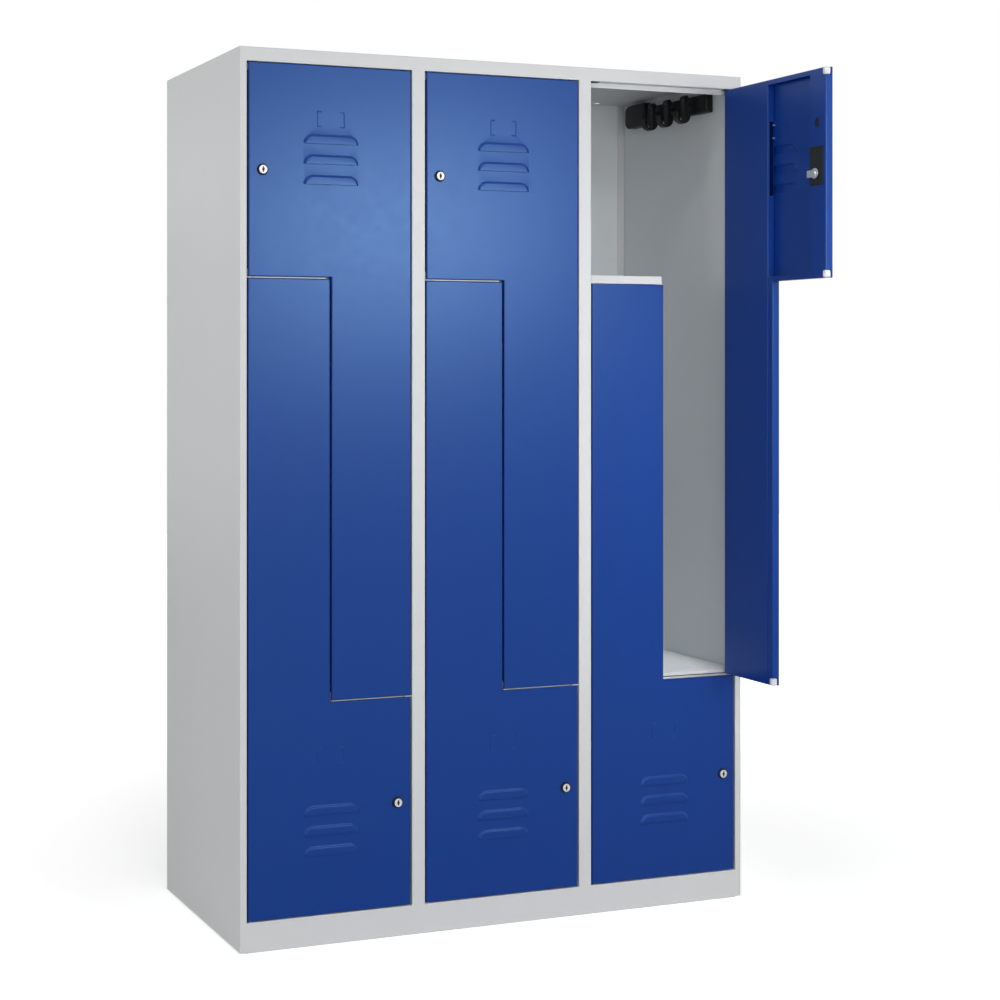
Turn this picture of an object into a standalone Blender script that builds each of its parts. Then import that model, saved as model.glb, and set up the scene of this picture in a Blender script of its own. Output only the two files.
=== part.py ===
"""Three-column steel locker with Z-shaped doors, two compartments to a column.

Metres, +Z up, +Y towards the wall behind the locker, +X to the right seen from the front.
The origin lies on the floor, in the middle of the front plinth's foot.
The upper door of the right-hand column stands open, the five others are shut.
"""

import math

import bmesh
import bpy
from mathutils import Matrix, Vector

# Whole locker
WIDTH = 1.200
DEPTH = 0.500
HEIGHT = 1.850
COLUMNS = 3

# Sheet metal and fits
SHEET = 0.001
SEAT_GAP = 0.0003
OVERRUN = 0.002
ROUND_STEPS = 16
PIN_STEPS = 8
LOUVRE_STEPS = 3
CURL_STEPS = 6
SHARP_FOLD = math.radians(30)

# Front frame
STILE = 0.015
FRAME_DEPTH = 0.020
STOP_LIP = 0.011
TOP_FLANGE = 0.029
TOP_LIP = 0.011
TOP_REAR_FLANGE = 0.025
PLINTH_HEIGHT = 0.062
PLINTH_LIP = 0.011
PLINTH_FOOT = 0.018
SIDE_LIFT = 0.0025
SIDE_REAR_FLANGE = 0.025
POST_FLANGE = 0.012
WALL_REAR_FLANGE = 0.018
FLOOR_FLANGE = 0.018
BACK_PANEL_DROP = 0.020

# Ceiling holes
CEILING_HOLE = 0.016
CEILING_HOLE_SPREAD = 0.111
CEILING_HOLE_FROM_BACK = 0.020

# Z-shaped division inside each column
STEP_UPPER_DROP = 0.4703
STEP_LOWER_Z = 0.5055
STEP_GAP = 0.0028
UPPER_RAIL_REACH = 0.0175
LOWER_RAIL_REACH = 0.0152
MIDDLE_RAIL_REACH = 0.006
SHELF_BELOW_RAIL = 0.005

# Doors
DOOR_THICKNESS = 0.0177
FREE_GAP = 0.004
HINGE_GAP = 0.0029
SPLIT_GAP = 0.004
TOP_GAP = 0.0015
BOTTOM_GAP = 0.002
EDGE_RETURN = 0.011
LEG_RETURN = 0.0155
LOCK_RETURN = 0.052
DOOR_OPEN = math.radians(90)

# Stiffener behind the hinge side of a door
STIFFENER_FOOT = 0.014
WEB_SLOT_LENGTH = 0.160
WEB_SLOT_WIDTH = 0.009
WEB_SLOT_FROM_SKIN = 0.0015
WEB_SLOT_FROM_STEP = 0.187

# Hinge pins and the small plates that carry them between the doors
PIN_INSET = 0.006
PIN_DIAMETER = 0.004
PIN_CLEARANCE = 0.0004
PIN_LENGTH = 0.013
BRACKET_WIDTH = 0.017
BRACKET_THICKNESS = 0.0016
BRACKET_SETBACK = 0.0015

# White plastic corner bumpers
BUMPER_WIDTH = 0.0105
BUMPER_HEIGHT = 0.016
BUMPER_DEPTH = 0.013
BUMPER_PROUD = 0.0015
BUMPER_ROUND = 0.0015

# Louvres
LOUVRES = 3
LOUVRE_WIDTH = 0.123
LOUVRE_HEIGHT = 0.0195
LOUVRE_PITCH = 0.042
LOUVRE_CORNER = 0.0175
LOUVRE_PROUD = 0.0035
LOUVRE_BEVEL = 0.004
LOUVRE_SLOT = 0.0006
UPPER_LOUVRE_DROP = 0.2765
LOWER_LOUVRE_Z = 0.1865

# Pressed label holder
LABEL_WIDTH = 0.0625
LABEL_HEIGHT = 0.0335
LABEL_RIDGE = 0.0018
LABEL_STUB = 0.011
LABEL_PROUD = 0.0006
UPPER_LABEL_DROP = 0.1415
LOWER_LABEL_Z = 0.3905

# Lock
LOCK_INSET = 0.034
UPPER_LOCK_DROP = 0.2500
LOWER_LOCK_Z = 0.2817
CASE_WIDTH = 0.035
CASE_HEIGHT = 0.074
CASE_SHIFT = 0.016
COVER_MARGIN = 0.004
COVER_THICKNESS = 0.0012
ROSETTE_DIAMETER = 0.024
ROSETTE_RIM = 0.0215
ROSETTE_PROUD = 0.0055
NECK_DIAMETER = 0.019
BARREL_DIAMETER = 0.0115
CORE_DIAMETER = 0.0174
CORE_HEAD = 0.002
CORE_RECESS = 0.0003
KEY_SLOT_WIDTH = 0.0019
KEY_SLOT_LENGTH = 0.0085
KEY_EYE_DIAMETER = 0.0042
KEY_SLOT_DEPTH = 0.0015
CAM_BACK = 0.011
CAM_REACH = 0.025
CAM_TIP_WIDTH = 0.015
CAM_THICKNESS = 0.002
CAM_BEHIND_LIP = 0.0015
CAM_HUB_DIAMETER = 0.014
CAM_BOLT_DIAMETER = 0.009
CAM_BOLT_HEAD = 0.0022
SPARE_HOLE_WIDTH = 0.015
SPARE_HOLE_HEIGHT = 0.022
SPARE_HOLE_RISE = 0.107

# Hook rail under the ceiling of each compartment
RAIL_FRONT = -0.143
RAIL_BACK = 0.203
RAIL_STRIP_THICKNESS = 0.018
RAIL_STRIP_HEIGHT = 0.030
RAIL_STRIP_DROP = 0.0225
RAIL_BLOCK_LENGTH = 0.058
RAIL_BLOCK_THICKNESS = 0.019
RAIL_BLOCK_HEIGHT = 0.038
RAIL_BLOCK_DROP = 0.027
RAIL_CAP_LENGTH = 0.087
RAIL_CAP_THICKNESS = 0.0245
RAIL_CAP_HEIGHT = 0.056
RAIL_CAP_DROP = 0.009
RAIL_CAP_ROUND = 0.016
HOOKS_Y = (-0.075, -0.002, 0.064)
HOOK_WIDTH = 0.016
HOOK_OUT = 0.033
HOOK_SHIFT = 0.007
HOOK_DROP = 0.019
HOOK_HEIGHT = 0.066
HOOK_STEM = 0.0075
HOOK_KNOB = 0.0075
HOOK_CURL = 0.0186
HOOK_PRONG = 0.0052
HOOK_TIP_RISE = 0.009

# Worked-out places
PITCH = WIDTH / COLUMNS
OPENING_HALF = PITCH / 2 - STILE
FRONT = -PLINTH_FOOT / 2
BACK = FRONT + DEPTH
STEP_UPPER_Z = HEIGHT - STEP_UPPER_DROP
UPPER_LOUVRE_Z = HEIGHT - UPPER_LOUVRE_DROP
UPPER_LABEL_Z = HEIGHT - UPPER_LABEL_DROP
UPPER_LOCK_Z = HEIGHT - UPPER_LOCK_DROP
LOCK_X = OPENING_HALF - LOCK_INSET
LIP_FRONT = FRONT + FRAME_DEPTH
LIP_BACK = LIP_FRONT + SHEET
OPENING_TOP = HEIGHT - TOP_FLANGE
INNER_PLANE = FRONT + DOOR_THICKNESS
HINGE_X = OPENING_HALF - HINGE_GAP - PIN_INSET
HINGE_Y = FRONT + PIN_INSET
LIP_EDGE = OPENING_HALF - STOP_LIP
HALF_SHEET = SHEET / 2
FLOOR_TOP = PLINTH_HEIGHT + PLINTH_LIP
BACK_PANEL_FACE = BACK - 2 * SHEET - SEAT_GAP
CELL_HALF = PITCH / 2 - SHEET - SEAT_GAP
UPPER_SHELF_Z = STEP_UPPER_Z + UPPER_RAIL_REACH - SHELF_BELOW_RAIL
LOWER_SHELF_Z = STEP_LOWER_Z + LOWER_RAIL_REACH - SHELF_BELOW_RAIL
CAM_FRONT = LIP_BACK + CAM_BEHIND_LIP
COVER_FACE = INNER_PLANE + SEAT_GAP + COVER_THICKNESS
WEB_X = SPLIT_GAP / 2 + LEG_RETURN + 2 * SEAT_GAP


class DoorKind:
    """Where one kind of door lies in its column. side is +1 for a hinge on the right, -1 on the left."""

    def __init__(self, name, side, wide_end, step, tip, lock_z, louvre_z, label_z):
        self.name = name
        self.side = side
        self.wide_end = wide_end
        self.step = step
        self.tip = tip
        self.lock_z = lock_z
        self.louvre_z = louvre_z
        self.label_z = label_z

    def hinge_x(self):
        """The hinge axis, seen from the column's middle."""
        return self.side * HINGE_X

    def lock_x(self):
        """The lock's axis, seen from the column's middle."""
        return -self.side * LOCK_X


UPPER = DoorKind(
    "upper",
    1,
    OPENING_TOP - TOP_GAP,
    STEP_UPPER_Z + STEP_GAP / 2,
    STEP_LOWER_Z + STEP_GAP / 2,
    UPPER_LOCK_Z,
    UPPER_LOUVRE_Z,
    UPPER_LABEL_Z,
)
LOWER = DoorKind(
    "lower",
    -1,
    PLINTH_HEIGHT + BOTTOM_GAP,
    STEP_LOWER_Z - STEP_GAP / 2,
    STEP_UPPER_Z - STEP_GAP / 2,
    LOWER_LOCK_Z,
    LOWER_LOUVRE_Z,
    LOWER_LABEL_Z,
)

COLOURS = {
    "light_grey_steel": ((0.60, 0.63, 0.63), 0.45, 0.0),
    "blue_steel": ((0.015, 0.055, 0.24), 0.40, 0.0),
    "zinc_steel": ((0.62, 0.62, 0.62), 0.35, 1.0),
    "black_plastic": ((0.012, 0.012, 0.013), 0.45, 0.0),
    "white_plastic": ((0.80, 0.81, 0.82), 0.40, 0.0),
    "chrome": ((0.80, 0.80, 0.80), 0.12, 1.0),
}


def clear_scene():
    """Removes whatever the scene holds."""
    for item in list(bpy.data.objects):
        bpy.data.objects.remove(item, do_unlink=True)


def make_collection(name):
    """A new collection in the scene."""
    collection = bpy.data.collections.new(name)
    bpy.context.scene.collection.children.link(collection)
    return collection


def make_material(name):
    """The Principled material of one finish."""
    if name in bpy.data.materials:
        return bpy.data.materials[name]
    colour, roughness, metallic = COLOURS[name]
    material = bpy.data.materials.new(name)
    material.use_nodes = True
    shader = material.node_tree.nodes["Principled BSDF"]
    shader.inputs["Base Color"].default_value = (*colour, 1)
    shader.inputs["Roughness"].default_value = roughness
    shader.inputs["Metallic"].default_value = metallic
    return material


clear_scene()
PARTS = make_collection("z_locker")
CUTTERS = make_collection("cutters")


def column_x(column):
    """The middle of a column, counted from the left."""
    return (column - (COLUMNS - 1) / 2) * PITCH


def work_object(name, mesh):
    """A hidden object that shapes another one."""
    item = bpy.data.objects.new(name, mesh)
    item.hide_render = True
    item.display_type = "WIRE"
    CUTTERS.objects.link(item)
    return item


def mesh_from(bm, name):
    """Turns a bmesh into a mesh with its faces pointing out."""
    bmesh.ops.recalc_face_normals(bm, faces=bm.faces)
    mesh = bpy.data.meshes.new(name)
    bm.to_mesh(mesh)
    bm.free()
    return mesh


def evaluated_mesh(item):
    """The mesh of an object with its modifiers in it."""
    graph = bpy.context.evaluated_depsgraph_get()
    graph.update()
    return bpy.data.meshes.new_from_object(item.evaluated_get(graph))


def remove_work(item):
    """Takes a hidden object away once its shape has been used."""
    bpy.data.objects.remove(item, do_unlink=True)


def add_box(bm, low, high):
    """Adds a box between two corners."""
    low = Vector(low)
    high = Vector(high)
    size = Matrix.Diagonal((high - low).to_4d())
    size[3][3] = 1
    bmesh.ops.create_cube(bm, size=1, matrix=Matrix.Translation((low + high) / 2) @ size)


def add_turned(bm, x, z, front, back, front_diameter, back_diameter, stretch=1):
    """Adds a round bar or cone that lies along Y, its height stretched by a factor."""
    turn = Matrix.Rotation(math.radians(-90), 4, "X")
    squeeze = Matrix.Diagonal((1, 1, stretch, 1))
    place = Matrix.Translation((x, (front + back) / 2, z)) @ squeeze @ turn
    bmesh.ops.create_cone(
        bm,
        cap_ends=True,
        segments=ROUND_STEPS,
        radius1=front_diameter / 2,
        radius2=back_diameter / 2,
        depth=back - front,
        matrix=place,
    )


def boxes(name, corners):
    """A work object made of separate boxes."""
    bm = bmesh.new()
    for low, high in corners:
        add_box(bm, low, high)
    return work_object(name, mesh_from(bm, name))


def flat_plate(name, outline, front, back):
    """A work object: a flat outline in X and Z, as thick as the distance from front to back."""
    curve = bpy.data.curves.new(name, "CURVE")
    curve.dimensions = "2D"
    curve.fill_mode = "BOTH"
    curve.extrude = (back - front) / 2
    spline = curve.splines.new("POLY")
    spline.points.add(len(outline) - 1)
    for point, (x, z) in zip(spline.points, outline):
        point.co = (x, z, 0, 1)
    spline.use_cyclic_u = True
    item = bpy.data.objects.new(name, curve)
    CUTTERS.objects.link(item)
    mesh = evaluated_mesh(item)
    remove_work(item)
    bm = bmesh.new()
    bm.from_mesh(mesh)
    bmesh.ops.remove_doubles(bm, verts=bm.verts, dist=SEAT_GAP / 10)
    upright = Matrix.Rotation(math.radians(90), 4, "X")
    bmesh.ops.transform(bm, matrix=upright, verts=bm.verts)
    bmesh.ops.translate(bm, vec=(0, (front + back) / 2, 0), verts=bm.verts)
    return work_object(name, mesh_from(bm, name))


def folded_sheet(name, path, start, end, axis):
    """A work object: sheet metal folded along a path through its middle, as long as start to end.

    The path runs in the two directions that are left beside the axis, in their usual order.
    """
    bm = bmesh.new()
    corners = []
    for first, second in path:
        place = [first, second]
        place.insert(axis, start)
        corners.append(bm.verts.new(place))
    edges = [bm.edges.new(pair) for pair in zip(corners, corners[1:])]
    made = bmesh.ops.extrude_edge_only(bm, edges=edges)["geom"]
    along = Vector((0, 0, 0))
    along[axis] = end - start
    moved = [part for part in made if isinstance(part, bmesh.types.BMVert)]
    bmesh.ops.translate(bm, vec=along, verts=moved)
    item = work_object(name, mesh_from(bm, name))
    solidify = item.modifiers.new("sheet", "SOLIDIFY")
    solidify.thickness = SHEET
    solidify.offset = 0
    solidify.use_even_offset = True
    return item


def combine(item, other, operation):
    """Adds or takes away the other object's shape, and uses that object up."""
    modifier = item.modifiers.new(other.name, "BOOLEAN")
    modifier.operation = operation
    modifier.solver = "EXACT"
    modifier.object = other
    mesh = evaluated_mesh(item)
    item.modifiers.clear()
    item.data = mesh
    remove_work(other)


def finished_mesh(item, name, finish):
    """Takes the mesh out of a work object, and gives it its material and shading."""
    mesh = evaluated_mesh(item)
    remove_work(item)
    mesh.name = name
    mesh.materials.clear()
    mesh.materials.append(make_material(finish))
    mesh.shade_smooth()
    mesh.set_sharp_from_angle(angle=SHARP_FOLD)
    return mesh


def place_part(name, mesh, parent=None):
    """Puts a named sub-part into the model."""
    item = bpy.data.objects.new(name, mesh)
    item.parent = parent
    PARTS.objects.link(item)
    return item


def place_axis(name, place, parent=None):
    """An empty on a joint's axis."""
    empty = bpy.data.objects.new(name, None)
    empty.location = place
    empty.parent = parent
    PARTS.objects.link(empty)
    return empty


def post_places():
    """The middles of the two posts between the columns."""
    return [column_x(column) + PITCH / 2 for column in range(COLUMNS - 1)]


def lip_clearance(low_z, high_z):
    """Boxes where the upright lips of stiles and posts pass a cross rail's lip."""
    reach = STILE + STOP_LIP + SEAT_GAP
    corners = []
    for x in post_places():
        corners.append((x - reach, x + reach))
    corners.append((-WIDTH / 2 - OVERRUN, -WIDTH / 2 + reach))
    corners.append((WIDTH / 2 - reach, WIDTH / 2 + OVERRUN))
    front = LIP_FRONT - SEAT_GAP
    back = LIP_BACK + OVERRUN
    return [((left, front, low_z), (right, back, high_z)) for left, right in corners]


def hinge_pins(places):
    """A work object with an upright pin for each (x, root, length), the length signed upwards."""
    bm = bmesh.new()
    for x, root, length in places:
        bmesh.ops.create_cone(
            bm,
            cap_ends=True,
            segments=PIN_STEPS,
            radius1=PIN_DIAMETER / 2,
            radius2=PIN_DIAMETER / 2,
            depth=abs(length),
            matrix=Matrix.Translation((x, HINGE_Y, root + length / 2)),
        )
    return work_object("hinge_pins", mesh_from(bm, "hinge_pins"))


def add_bracket(item, kind, column):
    """Welds the plate in a step gap to its stile, with the pin for the tip of a door's leg."""
    level = STEP_LOWER_Z if kind is UPPER else STEP_UPPER_Z
    edge = column_x(column) + kind.side * OPENING_HALF
    left, right = sorted((edge + kind.side * HALF_SHEET, edge - kind.side * BRACKET_WIDTH))
    half = BRACKET_THICKNESS / 2
    plate = (
        (left, FRONT + BRACKET_SETBACK, level - half),
        (right, LIP_FRONT - SEAT_GAP, level + half),
    )
    combine(item, boxes("bracket", [plate]), "UNION")
    pin = (column_x(column) + kind.hinge_x(), level, kind.side * PIN_LENGTH)
    combine(item, hinge_pins([pin]), "UNION")


def side_panel(side):
    """A side wall with its front stile, stop lip and rear flange folded from one sheet."""
    outer = side * (WIDTH / 2 - HALF_SHEET)
    stile = side * (WIDTH / 2 - STILE + HALF_SHEET)
    path = [
        (side * (WIDTH / 2 - SIDE_REAR_FLANGE), BACK - HALF_SHEET),
        (outer, BACK - HALF_SHEET),
        (outer, FRONT + HALF_SHEET),
        (stile, FRONT + HALF_SHEET),
        (stile, LIP_FRONT + HALF_SHEET),
        (side * (WIDTH / 2 - STILE - STOP_LIP), LIP_FRONT + HALF_SHEET),
    ]
    top = HEIGHT - SHEET - SEAT_GAP
    item = folded_sheet("side_panel", path, SIDE_LIFT, top, 2)
    if side < 0:
        add_bracket(item, LOWER, 0)
    else:
        add_bracket(item, UPPER, COLUMNS - 1)
    return item


def top_panel():
    """The top sheet with its front flange, stop lip and rear flange."""
    path = [
        (LIP_FRONT + HALF_SHEET, OPENING_TOP - TOP_LIP),
        (LIP_FRONT + HALF_SHEET, OPENING_TOP + HALF_SHEET),
        (FRONT + HALF_SHEET, OPENING_TOP + HALF_SHEET),
        (FRONT + HALF_SHEET, HEIGHT - HALF_SHEET),
        (BACK - HALF_SHEET, HEIGHT - HALF_SHEET),
        (BACK - HALF_SHEET, HEIGHT - TOP_REAR_FLANGE),
    ]
    item = folded_sheet("top_panel", path, -WIDTH / 2, WIDTH / 2, 0)
    under = HEIGHT - SHEET - SEAT_GAP
    low = OPENING_TOP - TOP_LIP - OVERRUN
    combine(item, boxes("top_lip_gaps", lip_clearance(low, OPENING_TOP + SHEET)), "DIFFERENCE")
    stile_edge = WIDTH / 2 - STILE - SEAT_GAP
    flange_edge = WIDTH / 2 - SIDE_REAR_FLANGE - SEAT_GAP
    ends = []
    for side in (-1, 1):
        for edge, front, back in (
            (stile_edge, FRONT - OVERRUN, LIP_BACK + OVERRUN),
            (flange_edge, BACK - SHEET - SEAT_GAP, BACK + OVERRUN),
        ):
            left, right = sorted((side * edge, side * (WIDTH / 2 + OVERRUN)))
            ends.append(((left, front, low), (right, back, under)))
    combine(item, boxes("top_corner_cuts", ends), "DIFFERENCE")
    bm = bmesh.new()
    for column in range(COLUMNS):
        for side in (-1, 1):
            place = (
                column_x(column) + side * CEILING_HOLE_SPREAD,
                BACK - CEILING_HOLE_FROM_BACK,
                HEIGHT - HALF_SHEET,
            )
            bmesh.ops.create_cone(
                bm,
                cap_ends=True,
                segments=PIN_STEPS,
                radius1=CEILING_HOLE / 2,
                radius2=CEILING_HOLE / 2,
                depth=SHEET + 2 * OVERRUN,
                matrix=Matrix.Translation(place),
            )
    combine(item, work_object("ceiling_holes", mesh_from(bm, "ceiling_holes")), "DIFFERENCE")
    root = OPENING_TOP + HALF_SHEET
    pins = [(column_x(column) + UPPER.hinge_x(), root, -PIN_LENGTH) for column in range(COLUMNS)]
    combine(item, hinge_pins(pins), "UNION")
    return item


def plinth_front():
    """The front kick plate with its foot, its ledge and the lip that the doors shut on."""
    path = [
        (FRONT + PLINTH_FOOT, HALF_SHEET),
        (FRONT + HALF_SHEET, HALF_SHEET),
        (FRONT + HALF_SHEET, PLINTH_HEIGHT - HALF_SHEET),
        (LIP_FRONT + HALF_SHEET, PLINTH_HEIGHT - HALF_SHEET),
        (LIP_FRONT + HALF_SHEET, FLOOR_TOP),
    ]
    half = WIDTH / 2 - STILE - SEAT_GAP
    item = folded_sheet("plinth_front", path, -half, half, 0)
    low = PLINTH_HEIGHT - 2 * SHEET
    cuts = boxes("plinth_lip_gaps", lip_clearance(low, FLOOR_TOP + OVERRUN))
    combine(item, cuts, "DIFFERENCE")
    root = PLINTH_HEIGHT - HALF_SHEET
    pins = [(column_x(column) + LOWER.hinge_x(), root, PIN_LENGTH) for column in range(COLUMNS)]
    combine(item, hinge_pins(pins), "UNION")
    return item


def plinth_rear():
    """The rear plate that the locker stands on."""
    path = [
        (BACK - PLINTH_FOOT, HALF_SHEET),
        (BACK - HALF_SHEET, HALF_SHEET),
        (BACK - HALF_SHEET, PLINTH_HEIGHT),
    ]
    half = WIDTH / 2 - SIDE_REAR_FLANGE - SEAT_GAP
    return folded_sheet("plinth_rear", path, -half, half, 0)


def floor_panel():
    """The floor sheet, with flanges turned down at the front and the back."""
    front = LIP_BACK + SEAT_GAP + HALF_SHEET
    back = BACK_PANEL_FACE - SEAT_GAP - HALF_SHEET
    level = FLOOR_TOP - HALF_SHEET
    path = [
        (front, FLOOR_TOP - FLOOR_FLANGE),
        (front, level),
        (back, level),
        (back, FLOOR_TOP - FLOOR_FLANGE),
    ]
    half = WIDTH / 2 - SHEET - SEAT_GAP
    return folded_sheet("floor_panel", path, -half, half, 0)


def back_panel():
    """The sheet that closes the back."""
    half = WIDTH / 2 - SHEET - SEAT_GAP
    low = PLINTH_HEIGHT - BACK_PANEL_DROP
    high = HEIGHT - SHEET - SEAT_GAP
    corners = [((-half, BACK_PANEL_FACE, low), (half, BACK_PANEL_FACE + SHEET, high))]
    return boxes("back_panel", corners)


def front_post(column):
    """The hat-shaped post on the right of a column, with a hinge bracket on each side."""
    x = column_x(column) + PITCH / 2
    wall = STILE - HALF_SHEET
    lip = STILE + STOP_LIP
    path = [
        (x - lip, LIP_FRONT + HALF_SHEET),
        (x - wall, LIP_FRONT + HALF_SHEET),
        (x - wall, FRONT + HALF_SHEET),
        (x + wall, FRONT + HALF_SHEET),
        (x + wall, LIP_FRONT + HALF_SHEET),
        (x + lip, LIP_FRONT + HALF_SHEET),
    ]
    low = PLINTH_HEIGHT + SEAT_GAP
    item = folded_sheet("front_post", path, low, OPENING_TOP - SEAT_GAP, 2)
    add_bracket(item, UPPER, column)
    add_bracket(item, LOWER, column + 1)
    return item


def partition_wall(x):
    """The sheet between two columns, flanged inside the post and against the back."""
    front = FRONT + SHEET + SEAT_GAP + HALF_SHEET
    back = BACK_PANEL_FACE - SEAT_GAP - HALF_SHEET
    path = [(x + POST_FLANGE, front), (x, front), (x, back), (x + WALL_REAR_FLANGE, back)]
    low = FLOOR_TOP + SEAT_GAP
    item = folded_sheet("partition_wall", path, low, HEIGHT - SHEET - SEAT_GAP, 2)
    rail_cut = (
        (x - OVERRUN, FRONT - OVERRUN, OPENING_TOP - 2 * SEAT_GAP),
        (x + POST_FLANGE + OVERRUN, LIP_BACK + OVERRUN, HEIGHT),
    )
    combine(item, boxes("rail_cut", [rail_cut]), "DIFFERENCE")
    return item


def z_division():
    """Shelf, upright and lower shelf folded from one sheet, with the rail that the doors shut on."""
    upper = UPPER_SHELF_Z - HALF_SHEET
    lower = LOWER_SHELF_Z - HALF_SHEET
    path = [(-CELL_HALF, upper), (0, upper), (0, lower), (CELL_HALF, lower)]
    back = BACK_PANEL_FACE - 2 * SHEET
    item = folded_sheet("z_division", path, LIP_FRONT + HALF_SHEET, back, 1)
    end = LIP_EDGE - SEAT_GAP
    notches = []
    for left, right in ((-CELL_HALF - OVERRUN, -end), (end, CELL_HALF + OVERRUN)):
        low = (left, LIP_FRONT - OVERRUN, lower - OVERRUN)
        notches.append((low, (right, LIP_BACK + SEAT_GAP, upper + OVERRUN)))
    combine(item, boxes("lip_notches", notches), "DIFFERENCE")
    rail = [
        (-end, STEP_UPPER_Z + UPPER_RAIL_REACH),
        (MIDDLE_RAIL_REACH, STEP_UPPER_Z + UPPER_RAIL_REACH),
        (MIDDLE_RAIL_REACH, STEP_LOWER_Z + LOWER_RAIL_REACH),
        (end, STEP_LOWER_Z + LOWER_RAIL_REACH),
        (end, STEP_LOWER_Z - LOWER_RAIL_REACH),
        (-MIDDLE_RAIL_REACH, STEP_LOWER_Z - LOWER_RAIL_REACH),
        (-MIDDLE_RAIL_REACH, STEP_UPPER_Z - UPPER_RAIL_REACH),
        (-end, STEP_UPPER_Z - UPPER_RAIL_REACH),
    ]
    combine(item, flat_plate("z_rail", rail, LIP_FRONT, LIP_BACK), "UNION")
    return item


def door_outline(kind, inset):
    """The door's L-shaped outline in X and Z about the hinge axis, each edge moved in by its own inset.

    The insets are those of the wide end, the hinge edge, the leg's tip, the leg's free edge,
    the step and the lock edge.
    """
    wide_end, hinge, tip, leg, step, lock = inset
    side = kind.side
    hinge_edge = side * (OPENING_HALF - HINGE_GAP - hinge) - kind.hinge_x()
    leg_edge = side * (SPLIT_GAP / 2 + leg) - kind.hinge_x()
    lock_edge = -side * (OPENING_HALF - FREE_GAP - lock) - kind.hinge_x()
    high = kind.wide_end - side * wide_end
    low = kind.tip + side * tip
    middle = kind.step + side * step
    return [
        (lock_edge, high),
        (hinge_edge, high),
        (hinge_edge, low),
        (leg_edge, low),
        (leg_edge, middle),
        (lock_edge, middle),
    ]


def louvre_outline(inset):
    """A louvre's outline about the middle of its bottom edge, drawn in at its top and sides."""
    half = LOUVRE_WIDTH / 2 - inset
    top = LOUVRE_HEIGHT - inset
    radius = LOUVRE_CORNER - inset
    points = [(-half, 0)]
    for step in range(LOUVRE_STEPS + 1):
        angle = math.radians(90) * step / LOUVRE_STEPS
        points.append((-half + radius * (1 - math.cos(angle)), top - radius * (1 - math.sin(angle))))
    points += [(-x, z) for x, z in reversed(points)]
    return points


def louvre_shell(kind, inset, front, back, slot):
    """The three louvre hoods of a door, or with an inset the hollows behind them."""
    parts = bmesh.new()
    for number in range(LOUVRES):
        outline = louvre_outline(inset)
        item = flat_plate("louvre", outline, front, back)
        bm = bmesh.new()
        bm.from_mesh(item.data)
        remove_work(item)
        sideways = 1 - 2 * LOUVRE_BEVEL / LOUVRE_WIDTH
        upwards = 1 - LOUVRE_BEVEL / LOUVRE_HEIGHT
        for corner in bm.verts:
            if corner.co.y < (front + back) / 2:
                corner.co.x *= sideways
                corner.co.z *= upwards
            if corner.co.z < SEAT_GAP:
                corner.co.z -= slot
        place = Vector((-kind.hinge_x(), 0, kind.louvre_z + number * LOUVRE_PITCH))
        bmesh.ops.translate(bm, vec=place, verts=bm.verts)
        mesh = mesh_from(bm, "louvre")
        parts.from_mesh(mesh)
    return work_object("louvres", mesh_from(parts, "louvres"))


def label_ridges(kind):
    """The pressed ridges that hold a name card."""
    middle = -kind.hinge_x()
    outer = LABEL_WIDTH / 2
    inner = outer - LABEL_RIDGE
    stub = outer - LABEL_STUB
    low = kind.label_z - LABEL_HEIGHT / 2
    high = kind.label_z + LABEL_HEIGHT / 2
    item = None
    front = FRONT - LABEL_PROUD
    for side in (-1, 1):
        outline = [
            (middle + side * stub, high),
            (middle + side * outer, high),
            (middle + side * outer, low),
            (middle + side * stub, low),
            (middle + side * stub, low + LABEL_RIDGE),
            (middle + side * inner, low + LABEL_RIDGE),
            (middle + side * inner, high - LABEL_RIDGE),
            (middle + side * stub, high - LABEL_RIDGE),
        ]
        bracket = flat_plate("label_bracket", outline, front, FRONT + HALF_SHEET)
        if item is None:
            item = bracket
        else:
            combine(item, bracket, "UNION")
    return item


def bumper_corners(kind):
    """The three free corners of a door that carry a bumper, with the way each one points."""
    lock_edge = -kind.side * (OPENING_HALF - FREE_GAP) - kind.hinge_x()
    leg_edge = kind.side * SPLIT_GAP / 2 - kind.hinge_x()
    return [
        (lock_edge, kind.wide_end, kind.side, -kind.side),
        (lock_edge, kind.step, kind.side, kind.side),
        (leg_edge, kind.tip, kind.side, kind.side),
    ]


def bumper_box(x, z, inward, up, margin, front, back, overrun):
    """The two corners of a bumper's box, or with a margin those of the notch it sits in."""
    left, right = sorted((x - inward * overrun, x + inward * (BUMPER_WIDTH + margin)))
    low, high = sorted((z - up * overrun, z + up * (BUMPER_HEIGHT + margin)))
    return (left, front, low), (right, back, high)


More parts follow.
